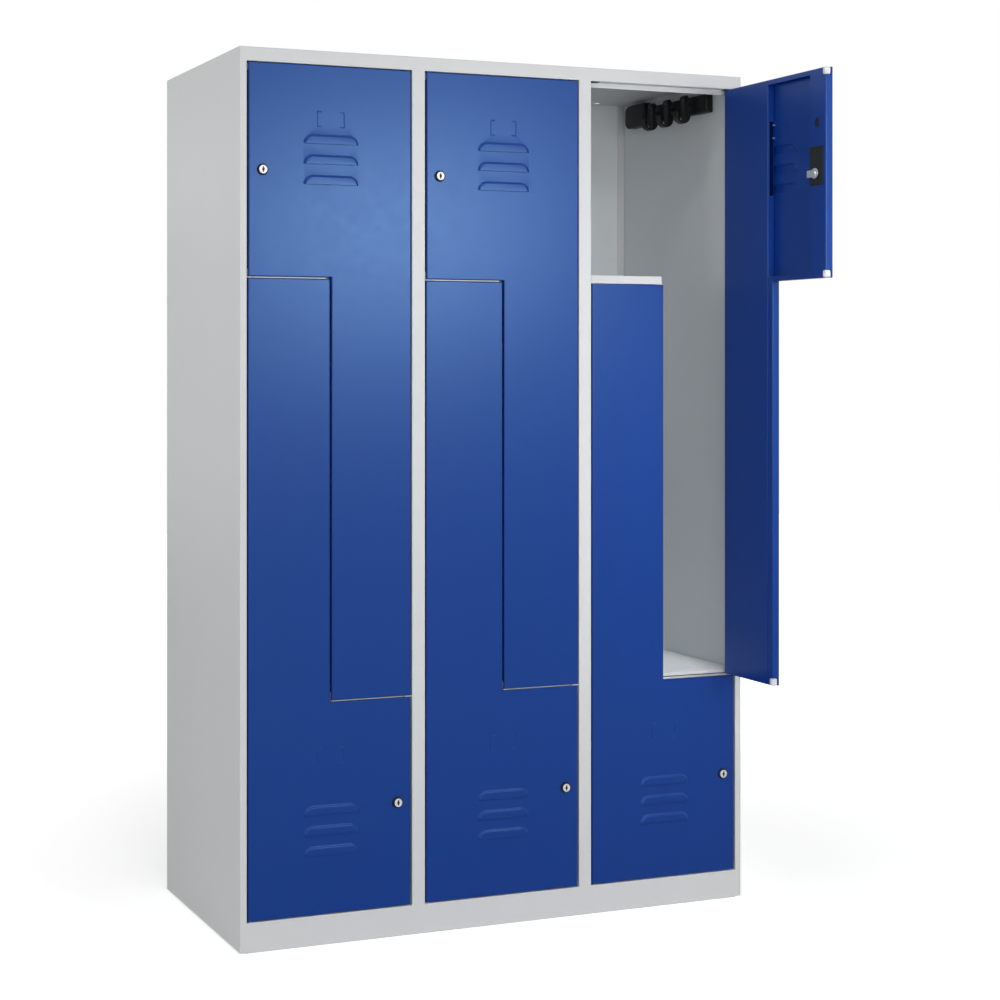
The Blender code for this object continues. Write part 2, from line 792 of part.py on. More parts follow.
def door_leaf(kind):
    """The outer sheet of a door: an L-shaped tray with returns, louvres, label ridges and holes."""
    item = flat_plate("door_leaf", door_outline(kind, (0,) * 6), FRONT, INNER_PLANE)
    hollow = flat_plate(
        "hollow", door_outline(kind, (SHEET,) * 6), FRONT + SHEET, INNER_PLANE - SHEET
    )
    combine(item, hollow, "DIFFERENCE")
    returns = (EDGE_RETURN, EDGE_RETURN, EDGE_RETURN, LEG_RETURN, EDGE_RETURN, LOCK_RETURN)
    mouth = flat_plate(
        "mouth",
        door_outline(kind, returns),
        INNER_PLANE - SHEET - OVERRUN,
        INNER_PLANE + OVERRUN,
    )
    combine(item, mouth, "DIFFERENCE")
    web = kind.side * (WEB_X - SEAT_GAP) - kind.hinge_x()
    wall = kind.side * (OPENING_HALF - HINGE_GAP - SHEET) - kind.hinge_x()
    left, right = sorted((web, wall))
    low, high = sorted((kind.wide_end - kind.side * SHEET, kind.tip + kind.side * SHEET))
    bed = ((left, INNER_PLANE - SHEET - OVERRUN, low), (right, INNER_PLANE + OVERRUN, high))
    combine(item, boxes("stiffener_bed", [bed]), "DIFFERENCE")
    notches = []
    for x, z, inward, up in bumper_corners(kind):
        back = INNER_PLANE + OVERRUN
        front = INNER_PLANE - BUMPER_DEPTH - SEAT_GAP
        notches.append(bumper_box(x, z, inward, up, SEAT_GAP, front, back, OVERRUN))
    combine(item, boxes("bumper_notches", notches), "DIFFERENCE")
    combine(item, door_holes(kind), "DIFFERENCE")
    back = FRONT + HALF_SHEET
    combine(item, louvre_shell(kind, 0, FRONT - LOUVRE_PROUD, back, 0), "UNION")
    hollows = louvre_shell(
        kind, SHEET, FRONT - LOUVRE_PROUD + SHEET, FRONT + SHEET + OVERRUN, LOUVRE_SLOT
    )
    combine(item, hollows, "DIFFERENCE")
    combine(item, label_ridges(kind), "UNION")
    return item


def door_holes(kind):
    """What is cut through a door's sheet for its lock, its hinge pins and the spare lock place."""
    bm = bmesh.new()
    lock = kind.lock_x() - kind.hinge_x()
    hole = NECK_DIAMETER + 2 * SEAT_GAP
    add_turned(bm, lock, kind.lock_z, FRONT - OVERRUN, FRONT + SHEET + OVERRUN, hole, hole)
    case_z = kind.lock_z + kind.side * CASE_SHIFT
    half_width = CASE_WIDTH / 2 + SEAT_GAP
    half_height = CASE_HEIGHT / 2 + SEAT_GAP
    front = INNER_PLANE - SHEET - OVERRUN
    back = INNER_PLANE + OVERRUN
    low = (lock - half_width, front, case_z - half_height)
    add_box(bm, low, (lock + half_width, back, case_z + half_height))
    spare_z = kind.lock_z + kind.side * SPARE_HOLE_RISE
    stretch = SPARE_HOLE_HEIGHT / SPARE_HOLE_WIDTH
    add_turned(bm, lock, spare_z, front, back, SPARE_HOLE_WIDTH, SPARE_HOLE_WIDTH, stretch)
    for level in (kind.wide_end, kind.tip):
        bmesh.ops.create_cone(
            bm,
            cap_ends=True,
            segments=PIN_STEPS,
            radius1=PIN_DIAMETER / 2 + PIN_CLEARANCE,
            radius2=PIN_DIAMETER / 2 + PIN_CLEARANCE,
            depth=2 * (SHEET + OVERRUN),
            matrix=Matrix.Translation((0, HINGE_Y, level)),
        )
    return work_object("door_holes", mesh_from(bm, "door_holes"))


def door_stiffener(kind):
    """The folded sheet that closes the hinge side of a door from the inside."""
    wall = kind.side * (OPENING_HALF - HINGE_GAP - SHEET - SEAT_GAP) - kind.hinge_x()
    web = kind.side * (WEB_X + HALF_SHEET) - kind.hinge_x()
    face = INNER_PLANE - HALF_SHEET
    foot = FRONT + SHEET + SEAT_GAP + HALF_SHEET
    path = [(wall, face), (web, face), (web, foot), (web + kind.side * STIFFENER_FOOT, foot)]
    reach = SHEET + SEAT_GAP
    low, high = sorted((kind.wide_end - kind.side * reach, kind.tip + kind.side * reach))
    item = folded_sheet("door_stiffener", path, low, high, 2)
    slot_front = foot + HALF_SHEET + WEB_SLOT_FROM_SKIN
    start = kind.step + kind.side * WEB_SLOT_FROM_STEP
    slot_low, slot_high = sorted((start, start + kind.side * WEB_SLOT_LENGTH))
    slot = (
        (web - SHEET, slot_front, slot_low),
        (web + SHEET, slot_front + WEB_SLOT_WIDTH, slot_high),
    )
    combine(item, boxes("web_slot", [slot]), "DIFFERENCE")
    return item


def corner_bumper(kind):
    """The white plastic cap on the lock corner of a door's wide end, which meets the stop lip."""
    x, z, inward, up = bumper_corners(kind)[0]
    back = INNER_PLANE + BUMPER_PROUD
    corners = [bumper_box(x, z, inward, up, 0, INNER_PLANE - BUMPER_DEPTH, back, 0)]
    item = boxes("corner_bumper", corners)
    bevel = item.modifiers.new("round", "BEVEL")
    bevel.width = BUMPER_ROUND
    bevel.segments = 1
    return item


def lock_case(kind):
    """The lock's black housing, about the lock's axis: case, cover, neck and the rosette outside."""
    case_z = kind.side * CASE_SHIFT
    half_width = CASE_WIDTH / 2
    half_height = CASE_HEIGHT / 2
    body = (
        (-half_width, FRONT + SHEET + SEAT_GAP, case_z - half_height),
        (half_width, INNER_PLANE + SEAT_GAP + SEAT_GAP, case_z + half_height),
    )
    cover = (
        (-half_width - COVER_MARGIN, INNER_PLANE + SEAT_GAP, case_z - half_height - COVER_MARGIN),
        (half_width + COVER_MARGIN, COVER_FACE, case_z + half_height + COVER_MARGIN),
    )
    item = boxes("lock_case", [body])
    combine(item, boxes("lock_cover", [cover]), "UNION")
    bm = bmesh.new()
    seat = FRONT - SEAT_GAP
    add_turned(bm, 0, 0, seat - OVERRUN / 2, FRONT + 2 * SHEET, NECK_DIAMETER, NECK_DIAMETER)
    combine(item, work_object("neck", mesh_from(bm, "neck")), "UNION")
    bm = bmesh.new()
    add_turned(bm, 0, 0, FRONT - ROSETTE_PROUD, seat, ROSETTE_RIM, ROSETTE_DIAMETER)
    combine(item, work_object("rosette", mesh_from(bm, "rosette")), "UNION")
    bm = bmesh.new()
    bore = BARREL_DIAMETER + 2 * SEAT_GAP
    add_turned(bm, 0, 0, FRONT - ROSETTE_PROUD - OVERRUN, COVER_FACE + OVERRUN, bore, bore)
    combine(item, work_object("barrel_bore", mesh_from(bm, "barrel_bore")), "DIFFERENCE")
    bm = bmesh.new()
    bore = CORE_DIAMETER + 2 * SEAT_GAP
    deep = FRONT - ROSETTE_PROUD + CORE_RECESS + CORE_HEAD + SEAT_GAP
    add_turned(bm, 0, 0, FRONT - ROSETTE_PROUD - OVERRUN, deep, bore, bore)
    combine(item, work_object("head_bore", mesh_from(bm, "head_bore")), "DIFFERENCE")
    return item


def lock_core():
    """The keyed plug that turns in the housing, about its own axis."""
    face = FRONT - ROSETTE_PROUD + CORE_RECESS
    bm = bmesh.new()
    add_turned(bm, 0, 0, face, face + CORE_HEAD, CORE_DIAMETER, CORE_DIAMETER)
    item = work_object("lock_core", mesh_from(bm, "lock_core"))
    bm = bmesh.new()
    add_turned(bm, 0, 0, face + CORE_HEAD / 2, COVER_FACE, BARREL_DIAMETER, BARREL_DIAMETER)
    combine(item, work_object("barrel", mesh_from(bm, "barrel")), "UNION")
    bm = bmesh.new()
    add_turned(bm, 0, 0, face - OVERRUN, face + KEY_SLOT_DEPTH, KEY_EYE_DIAMETER, KEY_EYE_DIAMETER)
    combine(item, work_object("key_eye", mesh_from(bm, "key_eye")), "DIFFERENCE")
    slot = (
        (-KEY_SLOT_WIDTH / 2, face - OVERRUN, -KEY_SLOT_LENGTH / 2),
        (KEY_SLOT_WIDTH / 2, face + KEY_SLOT_DEPTH, KEY_SLOT_LENGTH / 2),
    )
    combine(item, boxes("key_slot", [slot]), "DIFFERENCE")
    return item


def cam_outline(kind):
    """The cam's outline about the lock's axis: round behind, with a tongue that points at the hinge."""
    tip = CAM_TIP_WIDTH / 2
    start = math.atan2(tip, math.sqrt(CAM_BACK ** 2 - tip ** 2))
    turn = 2 * (math.pi - start)
    steps = ROUND_STEPS // 2
    points = [(CAM_REACH, -tip + SHEET), (CAM_REACH, tip - SHEET), (CAM_REACH - SHEET, tip)]
    for step in range(steps + 1):
        angle = start + turn * step / steps
        points.append((CAM_BACK * math.cos(angle), CAM_BACK * math.sin(angle)))
    points.append((CAM_REACH - SHEET, -tip))
    return [(kind.side * x, kind.side * z) for x, z in points]


def lock_cam(kind):
    """The tongue on the inner end of the plug, with its hub and bolt."""
    item = flat_plate("lock_cam", cam_outline(kind), CAM_FRONT, CAM_FRONT + CAM_THICKNESS)
    bm = bmesh.new()
    front = COVER_FACE + SEAT_GAP
    back = CAM_FRONT + CAM_THICKNESS / 2
    add_turned(bm, 0, 0, front, back, CAM_HUB_DIAMETER, CAM_HUB_DIAMETER)
    combine(item, work_object("cam_hub", mesh_from(bm, "cam_hub")), "UNION")
    bm = bmesh.new()
    front = CAM_FRONT + CAM_THICKNESS / 2
    back = CAM_FRONT + CAM_THICKNESS + CAM_BOLT_HEAD
    add_turned(bm, 0, 0, front, back, CAM_BOLT_DIAMETER, CAM_BOLT_DIAMETER)
    combine(item, work_object("cam_bolt", mesh_from(bm, "cam_bolt")), "UNION")
    return item


def wall_seat(column, side):
    """Where a piece sits on a column's right or left wall: a partition or the locker's own side."""
    edge = column_x(column) + side * PITCH / 2
    outermost = abs(edge) > WIDTH / 2 - SHEET
    thickness = SHEET if outermost else HALF_SHEET
    return edge - side * (thickness + SEAT_GAP)


def hook_outline(side, ceiling):
    """A coat hook seen along Y: a knobbed stem on the rail's face that splits into two prongs."""
    half = HOOK_STEM / 2
    radius = HOOK_CURL - HOOK_PRONG
    top = ceiling - HOOK_DROP
    low = top - HOOK_HEIGHT + HOOK_CURL
    tip = low + HOOK_TIP_RISE
    fork = [low - math.sqrt(radius**2 - (HOOK_SHIFT + way * half) ** 2) for way in (-1, 1)]
    inner = []
    outer = []
    knob = []
    start = math.acos(half / HOOK_KNOB)
    for step in range(CURL_STEPS + 1):
        angle = math.pi * step / CURL_STEPS
        inner.append((HOOK_SHIFT - radius * math.cos(angle), low - radius * math.sin(angle)))
        outer.append((HOOK_SHIFT - HOOK_CURL * math.cos(angle), low - HOOK_CURL * math.sin(angle)))
        turn = (math.pi + 2 * start) * step / CURL_STEPS - start
        knob.append((HOOK_KNOB * math.cos(turn), top - HOOK_KNOB + HOOK_KNOB * math.sin(turn)))
    seat = RAIL_STRIP_THICKNESS - OVERRUN - HOOK_OUT
    seat_middle = ceiling - RAIL_STRIP_DROP - RAIL_STRIP_HEIGHT / 2
    points = outer + [(outer[-1][0] - HOOK_PRONG / 4, tip), (inner[-1][0] + HOOK_PRONG / 4, tip)]
    points += [place for place in reversed(inner) if place[0] > half]
    points += [(half, fork[0])] + knob
    points += [(-half, seat_middle + half), (seat, seat_middle + half)]
    points += [(seat, seat_middle - half), (-half, seat_middle - half), (-half, fork[1])]
    points += [place for place in reversed(inner) if place[0] < -half]
    points += [(inner[0][0] - HOOK_PRONG / 4, tip), (outer[0][0] + HOOK_PRONG / 4, tip)]
    return [(-side * (HOOK_OUT + distance), z) for distance, z in points]


def hook_rail(side, ceiling):
    """A black rail with three coat hooks for a wall at X zero, on its left for side +1."""
    middle = (FRONT + BACK) / 2

    def piece(name, start, length, thickness, drop, height):
        left, right = sorted((0, -side * thickness))
        top = ceiling - drop
        low = (left, middle + start, top - height)
        return boxes(name, [(low, (right, middle + start + length, top))])

    item = piece(
        "hook_rail",
        RAIL_FRONT + OVERRUN,
        RAIL_BACK - RAIL_FRONT - 2 * OVERRUN,
        RAIL_STRIP_THICKNESS,
        RAIL_STRIP_DROP,
        RAIL_STRIP_HEIGHT,
    )
    block = piece(
        "rail_block",
        RAIL_FRONT,
        RAIL_BLOCK_LENGTH,
        RAIL_BLOCK_THICKNESS,
        RAIL_BLOCK_DROP - OVERRUN,
        RAIL_BLOCK_HEIGHT + OVERRUN,
    )
    combine(item, block, "UNION")
    cap = piece(
        "rail_cap",
        RAIL_BACK - RAIL_CAP_LENGTH,
        RAIL_CAP_LENGTH,
        RAIL_CAP_THICKNESS,
        RAIL_CAP_DROP,
        RAIL_CAP_HEIGHT,
    )
    bevel = cap.modifiers.new("round", "BEVEL")
    bevel.width = RAIL_CAP_ROUND
    bevel.segments = 2
    bevel.limit_method = "WEIGHT"
    mark_edges_along(cap, 0)
    combine(item, cap, "UNION")
    for y in HOOKS_Y:
        centre = middle + y
        outline = hook_outline(side, ceiling)
        hook = flat_plate("hook", outline, centre - HOOK_WIDTH / 2, centre + HOOK_WIDTH / 2)
        combine(item, hook, "UNION")
    return item


def mark_edges_along(item, axis):
    """Marks the edges that run along one direction for the bevel."""
    weights = item.data.attributes.new("bevel_weight_edge", "FLOAT", "EDGE")
    for edge in item.data.edges:
        first, second = (item.data.vertices[index].co for index in edge.vertices)
        along = abs((second - first).normalized()[axis])
        weights.data[edge.index].value = round(along)


def build_carcass():
    """Places every fixed piece of the steel body."""
    grey = "light_grey_steel"
    for name, side in (("side_panel_left", -1), ("side_panel_right", 1)):
        place_part(name, finished_mesh(side_panel(side), name, grey))
    for name, maker in (
        ("top_panel", top_panel),
        ("back_panel", back_panel),
        ("floor_panel", floor_panel),
        ("plinth_front", plinth_front),
        ("plinth_rear", plinth_rear),
    ):
        place_part(name, finished_mesh(maker(), name, grey))
    for column, x in enumerate(post_places()):
        number = str(column + 1)
        place_part("front_post_" + number, finished_mesh(front_post(column), "front_post", grey))
        place_part("partition_" + number, finished_mesh(partition_wall(x), "partition", grey))
    division = finished_mesh(z_division(), "z_division", grey)
    for column in range(COLUMNS):
        item = place_part(f"z_division_{column + 1}", division)
        item.location.x = column_x(column)


def build_hook_rails():
    """Places a hook rail in each compartment, above the leg where coats hang."""
    for kind, ceiling in ((UPPER, HEIGHT - SHEET), (LOWER, UPPER_SHELF_Z - SHEET)):
        mesh = finished_mesh(hook_rail(kind.side, ceiling), "hook_rail", "black_plastic")
        for column in range(COLUMNS):
            item = place_part(f"hook_rail_{column + 1}_{kind.name}", mesh)
            item.location.x = wall_seat(column, kind.side)


def build_doors(kind):
    """Places one kind of door in every column, each on its hinge axis with its lock."""
    leaf = finished_mesh(door_leaf(kind), "door_leaf", "blue_steel")
    stiffener = finished_mesh(door_stiffener(kind), "door_stiffener", "blue_steel")
    bumper = finished_mesh(corner_bumper(kind), "corner_bumper", "white_plastic")
    case = finished_mesh(lock_case(kind), "lock_case", "black_plastic")
    core = finished_mesh(lock_core(), "lock_core", "chrome")
    cam = finished_mesh(lock_cam(kind), "lock_cam", "zinc_steel")
    for column in range(COLUMNS):
        label = f"{column + 1}_{kind.name}"
        hinge = place_axis("hinge_axis_" + label, (column_x(column) + kind.hinge_x(), HINGE_Y, 0))
        for name, mesh in (
            ("door_leaf_", leaf),
            ("door_stiffener_", stiffener),
            ("corner_bumper_", bumper),
        ):
            place_part(name + label, mesh, hinge).location.y = -HINGE_Y
        lock_place = (kind.lock_x() - kind.hinge_x(), -HINGE_Y, kind.lock_z)
        lock = place_axis("lock_axis_" + label, lock_place, hinge)
        for name, mesh in (("lock_case_", case), ("lock_core_", core), ("lock_cam_", cam)):
            place_part(name + label, mesh, lock)
        if kind is UPPER and column == COLUMNS - 1:
            hinge.rotation_euler.z = DOOR_OPEN


build_carcass()
build_hook_rails()
build_doors(UPPER)
build_doors(LOWER)
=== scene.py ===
"""Looks of the three-column Z locker: fine sheet metal, paint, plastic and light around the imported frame.

Metres, +Z up, +Y towards the wall behind the locker, +X to the right seen from the front.
"""

import math

import bmesh
import bpy
from mathutils import Matrix, Vector


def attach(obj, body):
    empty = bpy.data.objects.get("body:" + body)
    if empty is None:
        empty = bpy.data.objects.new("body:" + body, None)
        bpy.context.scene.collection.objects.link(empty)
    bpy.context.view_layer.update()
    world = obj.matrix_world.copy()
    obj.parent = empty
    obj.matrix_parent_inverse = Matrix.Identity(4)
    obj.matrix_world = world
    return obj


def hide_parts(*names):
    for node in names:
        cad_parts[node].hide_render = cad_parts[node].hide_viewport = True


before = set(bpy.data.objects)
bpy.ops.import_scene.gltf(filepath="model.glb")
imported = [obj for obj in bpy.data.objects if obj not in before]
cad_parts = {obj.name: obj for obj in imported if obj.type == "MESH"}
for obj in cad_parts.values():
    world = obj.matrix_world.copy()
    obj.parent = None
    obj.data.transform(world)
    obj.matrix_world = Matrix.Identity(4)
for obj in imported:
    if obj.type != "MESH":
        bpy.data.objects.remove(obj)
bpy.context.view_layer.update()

# Whole locker, as in the CAD source but for the lower step and the step gap, which were measured again later
WIDTH = 1.200
DEPTH = 0.500
HEIGHT = 1.850
COLUMNS = 3
SHEET = 0.001
SEAT_GAP = 0.0003
OVERRUN = 0.002
STILE = 0.015
FRAME_DEPTH = 0.020
STOP_LIP = 0.011
TOP_FLANGE = 0.029
TOP_LIP = 0.011
TOP_REAR_FLANGE = 0.025
PLINTH_HEIGHT = 0.062
PLINTH_LIP = 0.011
PLINTH_FOOT = 0.018
SIDE_LIFT = 0.0025
SIDE_REAR_FLANGE = 0.025
CEILING_HOLE = 0.016
CEILING_HOLE_SPREAD = 0.111
CEILING_HOLE_FROM_BACK = 0.020
STEP_UPPER_Z = 1.3797
STEP_LOWER_Z = 0.5028
STEP_GAP = 0.0036
SHELF_BELOW_RAIL = 0.005
UPPER_RAIL_REACH = 0.0175
LOWER_RAIL_REACH = 0.0152
MIDDLE_RAIL_REACH = 0.006

# Doors
DOOR_THICKNESS = 0.0177
FREE_GAP = 0.004
HINGE_GAP = 0.0029
SPLIT_GAP = 0.004
TOP_GAP = 0.0015
BOTTOM_GAP = 0.002
EDGE_RETURN = 0.011
LEG_RETURN = 0.0155
LOCK_RETURN = 0.052
STIFFENER_FOOT = 0.014
WEB_SLOT_LENGTH = 0.160
WEB_SLOT_WIDTH = 0.009
WEB_SLOT_FROM_SKIN = 0.0015
WEB_SLOT_FROM_STEP = 0.187
PIN_INSET = 0.006
PIN_DIAMETER = 0.004
PIN_CLEARANCE = 0.0004
PIN_LENGTH = 0.013
BRACKET_WIDTH = 0.017
BRACKET_THICKNESS = 0.0016
BRACKET_SETBACK = 0.0015
BUMPER_WIDTH = 0.0105
BUMPER_HEIGHT = 0.016
BUMPER_DEPTH = 0.013
BUMPER_PROUD = 0.0015
BUMPER_ROUND = 0.0034

# Pressed forms
LOUVRES = 3
LOUVRE_WIDTH = 0.123
LOUVRE_HEIGHT = 0.0195
LOUVRE_PITCH = 0.042
LOUVRE_CORNER = 0.0175
LOUVRE_PROUD = 0.0035
LOUVRE_BEVEL = 0.0052
LOUVRE_EASE = 0.25
LOUVRE_STRETCH = 1.25
LOUVRE_SLIT = 0.0011
LOUVRE_BACKING = 0.0008
LABEL_WIDTH = 0.0625
LABEL_HEIGHT = 0.0335
LABEL_RIDGE = 0.0026
LABEL_STUB = 0.011
LABEL_PROUD = 0.0009
LABEL_SLIT = 0.0016

# Lock
LOCK_INSET = 0.034
CASE_WIDTH = 0.035
CASE_HEIGHT = 0.074
CASE_SHIFT = 0.016
COVER_MARGIN = 0.004
COVER_THICKNESS = 0.0012
ROSETTE_DIAMETER = 0.024
ROSETTE_RIM = 0.0215
ROSETTE_PROUD = 0.0055
NECK_DIAMETER = 0.019
BARREL_DIAMETER = 0.0115
CORE_DIAMETER = 0.0174
CORE_HEAD = 0.002
CORE_RECESS = 0.0003
KEY_SLOT_WIDTH = 0.0030
KEY_SLOT_LENGTH = 0.0112
KEY_EYE_DIAMETER = 0.0062
KEY_SLOT_DEPTH = 0.0015
CAM_BACK = 0.011
CAM_REACH = 0.025
CAM_TIP_WIDTH = 0.015
CAM_THICKNESS = 0.002
CAM_BEHIND_LIP = 0.0015
CAM_HUB_DIAMETER = 0.014
CAM_BOLT_DIAMETER = 0.009
CAM_BOLT_HEAD = 0.0022
SPARE_HOLE_WIDTH = 0.015
SPARE_HOLE_HEIGHT = 0.022
SPARE_HOLE_RISE = 0.107

# Hook rail
RAIL_FRONT = -0.143
RAIL_BACK = 0.203
RAIL_STRIP_THICKNESS = 0.018
RAIL_STRIP_HEIGHT = 0.041
RAIL_STRIP_DROP = 0.0225
RAIL_BLOCK_LENGTH = 0.058
RAIL_BLOCK_THICKNESS = 0.019
RAIL_BLOCK_HEIGHT = 0.038
RAIL_BLOCK_DROP = 0.027
RAIL_CAP_LENGTH = 0.087
RAIL_CAP_THICKNESS = 0.0245
RAIL_CAP_HEIGHT = 0.056
RAIL_CAP_DROP = 0.009
RAIL_CAP_ROUND = 0.016
HOOKS_Y = (-0.075, -0.002, 0.064)
HOOK_WIDTH = 0.016
HOOK_OUT = 0.033
HOOK_SHIFT = 0.007
HOOK_DROP = 0.019
HOOK_HEIGHT = 0.066
HOOK_STEM = 0.0075
HOOK_KNOB = 0.0075
HOOK_CURL = 0.0186
HOOK_PRONG = 0.0052
HOOK_TIP_RISE = 0.009
HOOK_ROUND = 0.0015
RAIL_EDGE_ROUND = 0.004

# Folds, roundings and small forms that only the looks have
SHELF_ROUND = 0.0095
UPPER_STRIP_SETBACK = 0.0015
LOWER_STRIP_SETBACK = 0.003
UPPER_STRIP_THICKNESS = 0.0020
LOWER_STRIP_THICKNESS = 0.0013
UPPER_STRIP_END = 0.0105
LOWER_STRIP_END = 0.001
STRIP_TO_PLATE = 0.0025
# Low and high edge of the near-black strip that paints the shade in the seam under the lower shelf
SEAM_LOW = 0.0007
SEAM_HIGH = 0.0024
WALL_STRIP = 0.018
WEB_SLANT = 0.0012
STUD_DIAMETER = 0.0036
STUD_HEIGHT = 0.0046
STUDS_FROM_STEP = (0.3121, 0.3403)
BACKING_MARGIN = 0.002
INSIDE_FACE_AREA = 0.01
# Near-black pads and wedges that paint the shade in the ledge corners above each door
NOTCH_SETBACK = 0.003
NOTCH_THICKNESS = 0.001
NOTCH_LENGTH = 0.024
NOTCH_DROP = 0.0034
FOLD_RADIUS = 0.0013
FOLD_STEPS = 4
DOOR_FOLD = 0.0022
EDGE_ROUND = 0.0003
CIRCLE_STEPS = 40
LOUVRE_RINGS = 6
LOUVRE_ARC_STEPS = 8
RIDGE_STEPS = 6
CURL_STEPS = 12
CAM_STEPS = 24
SPARE_HOLE_STEPS = 32
SHARP_ANGLE = 32
FACING = 0.9
ROSETTE_ROUND = 0.0012
CASE_ROUND = 0.0008
COVER_ROUND = 0.0005
RAIL_STRIP_ROUND = 0.001
RAIL_BLOCK_ROUND = 0.003
SCREW_INSET = 0.006
# Radius and rise over the cover, and distance from the plug's edge and depth in its face
SCREW_PROFILE = ((0, 0.0008), (0.0018, 0.0007), (0.0028, 0.0001), (0.0028, -0.0005), (0, -0.0005))
CORE_GROOVE = ((0.0022, 0), (0.0019, 0.00025), (0.0016, 0))

# Variation in every material
CLOUD_SCALE = 7
SMUDGE_SCALE = 60
NOISE_RANGE = (0.3, 0.7)
ROUGHNESS_SPREAD = 0.01
COLOUR_CLOUD = 0.006
GRAIN_HEIGHT = 0.0004

# Worked-out places
PITCH = WIDTH / COLUMNS
OPENING_HALF = PITCH / 2 - STILE
FRONT = -PLINTH_FOOT / 2
BACK = FRONT + DEPTH
LIP_FRONT = FRONT + FRAME_DEPTH
LIP_BACK = LIP_FRONT + SHEET
OPENING_TOP = HEIGHT - TOP_FLANGE
INNER_PLANE = FRONT + DOOR_THICKNESS
HINGE_X = OPENING_HALF - HINGE_GAP - PIN_INSET
HINGE_Y = FRONT + PIN_INSET
HALF_SHEET = SHEET / 2
FACE_MIDDLE = FRONT + HALF_SHEET
LIP_MIDDLE = LIP_FRONT + HALF_SHEET
BACK_MIDDLE = BACK - HALF_SHEET
FLOOR_TOP = PLINTH_HEIGHT + PLINTH_LIP
LOCK_X = OPENING_HALF - LOCK_INSET
UPPER_SHELF_Z = STEP_UPPER_Z + UPPER_RAIL_REACH - SHELF_BELOW_RAIL
LOWER_SHELF_Z = STEP_LOWER_Z + LOWER_RAIL_REACH - SHELF_BELOW_RAIL
CAM_FRONT = LIP_BACK + CAM_BEHIND_LIP
COVER_FACE = INNER_PLANE + SEAT_GAP + COVER_THICKNESS
WEB_X = SPLIT_GAP / 2 + LEG_RETURN + 2 * SEAT_GAP
SKIN_DEPTHS = (FRONT, FRONT + SHEET)
PAN_DEPTHS = (INNER_PLANE, INNER_PLANE - SHEET)


class DoorKind:
    """Where one kind of door lies in its column. side is +1 for a hinge on the right, -1 on the left."""

    def __init__(self, name, side, wide_end, step, tip, lock_z, louvre_z, label_z):
        self.name = name
        self.side = side
        self.wide_end = wide_end
        self.step = step
        self.tip = tip
        self.lock_z = lock_z
        self.louvre_z = louvre_z
        self.label_z = label_z
        self.hinge_x = side * HINGE_X
        self.lock_x = -side * LOCK_X - side * HINGE_X


UPPER = DoorKind(
    "upper", 1, OPENING_TOP - TOP_GAP, STEP_UPPER_Z + STEP_GAP / 2, STEP_LOWER_Z + STEP_GAP / 2,
    1.6000, 1.5735, 1.7085,
)
LOWER = DoorKind(
    "lower", -1, PLINTH_HEIGHT + BOTTOM_GAP, STEP_LOWER_Z - STEP_GAP / 2, STEP_UPPER_Z - STEP_GAP / 2,
    0.2817, 0.1865, 0.3905,
)


# ---------------------------------------------------------------- materials

def link(source, output, target, value):
    """Joins one node's output to another's input."""
    source.id_data.links.new(source.outputs[output], target.inputs[value])


def set_inputs(node, values):
    """Sets a node's inputs to constants."""
    for name, value in values.items():
        node.inputs[name].default_value = value


def noise_node(tree, coordinates, scale, detail, stretch=None):
    """A noise texture on object coordinates, drawn out along an axis if stretch is given."""
    source, output = coordinates, "Object"
    if stretch:
        mapping = tree.nodes.new("ShaderNodeMapping")
        set_inputs(mapping, {"Scale": stretch})
        link(coordinates, "Object", mapping, "Vector")
        source, output = mapping, "Vector"
    noise = tree.nodes.new("ShaderNodeTexNoise")
    set_inputs(noise, {"Scale": scale, "Detail": detail})
    link(source, output, noise, "Vector")
    return noise


def range_node(tree, source, output, low, high, to_low, to_high):
    """Spreads a value over another range."""
    spread = tree.nodes.new("ShaderNodeMapRange")
    set_inputs(spread, {"From Min": low, "From Max": high, "To Min": to_low, "To Max": to_high})
    link(source, output, spread, "Value")
    return spread


def math_node(tree, operation, first, output, second, other_output):
    """A node that works out one value from two."""
    node = tree.nodes.new("ShaderNodeMath")
    node.operation = operation
    link(first, output, node, 0)
    link(second, other_output, node, 1)
    return node


def surface(name, colour, roughness, metallic=0.0, specular=0.5, tint=(1, 1, 1), peel=(900, 0.04), stretch=None):
    """A material with fine grain, a roughness that varies and a colour that clouds a little."""
    material = bpy.data.materials.new(name)
    material.use_nodes = True
    tree = material.node_tree
    shader = tree.nodes["Principled BSDF"]
    set_inputs(shader, {"Metallic": metallic, "Specular IOR Level": specular, "Specular Tint": (*tint, 1)})
    coordinates = tree.nodes.new("ShaderNodeTexCoord")
    large = noise_node(tree, coordinates, CLOUD_SCALE, 3)
    middle = noise_node(tree, coordinates, SMUDGE_SCALE, 4, stretch)
    least, most = roughness - ROUGHNESS_SPREAD, roughness + ROUGHNESS_SPREAD
    rough = range_node(tree, middle, "Fac", *NOISE_RANGE, least, most)
    link(rough, "Result", shader, "Roughness")
    shade = range_node(tree, large, "Fac", *NOISE_RANGE, 1 - COLOUR_CLOUD, 1 + COLOUR_CLOUD)
    mix = tree.nodes.new("ShaderNodeMix")
    mix.data_type = "RGBA"
    mix.blend_type = "MULTIPLY"
    set_inputs(mix, {"Factor": 1, "A": (*colour, 1)})
    link(shade, "Result", mix, "B")
    link(mix, "Result", shader, "Base Color")
    grain = noise_node(tree, coordinates, peel[0], 2, stretch)
    bump = tree.nodes.new("ShaderNodeBump")
    set_inputs(bump, {"Strength": peel[1], "Distance": GRAIN_HEIGHT})
    link(grain, "Fac", bump, "Height")
    link(bump, "Normal", shader, "Normal")
    return material


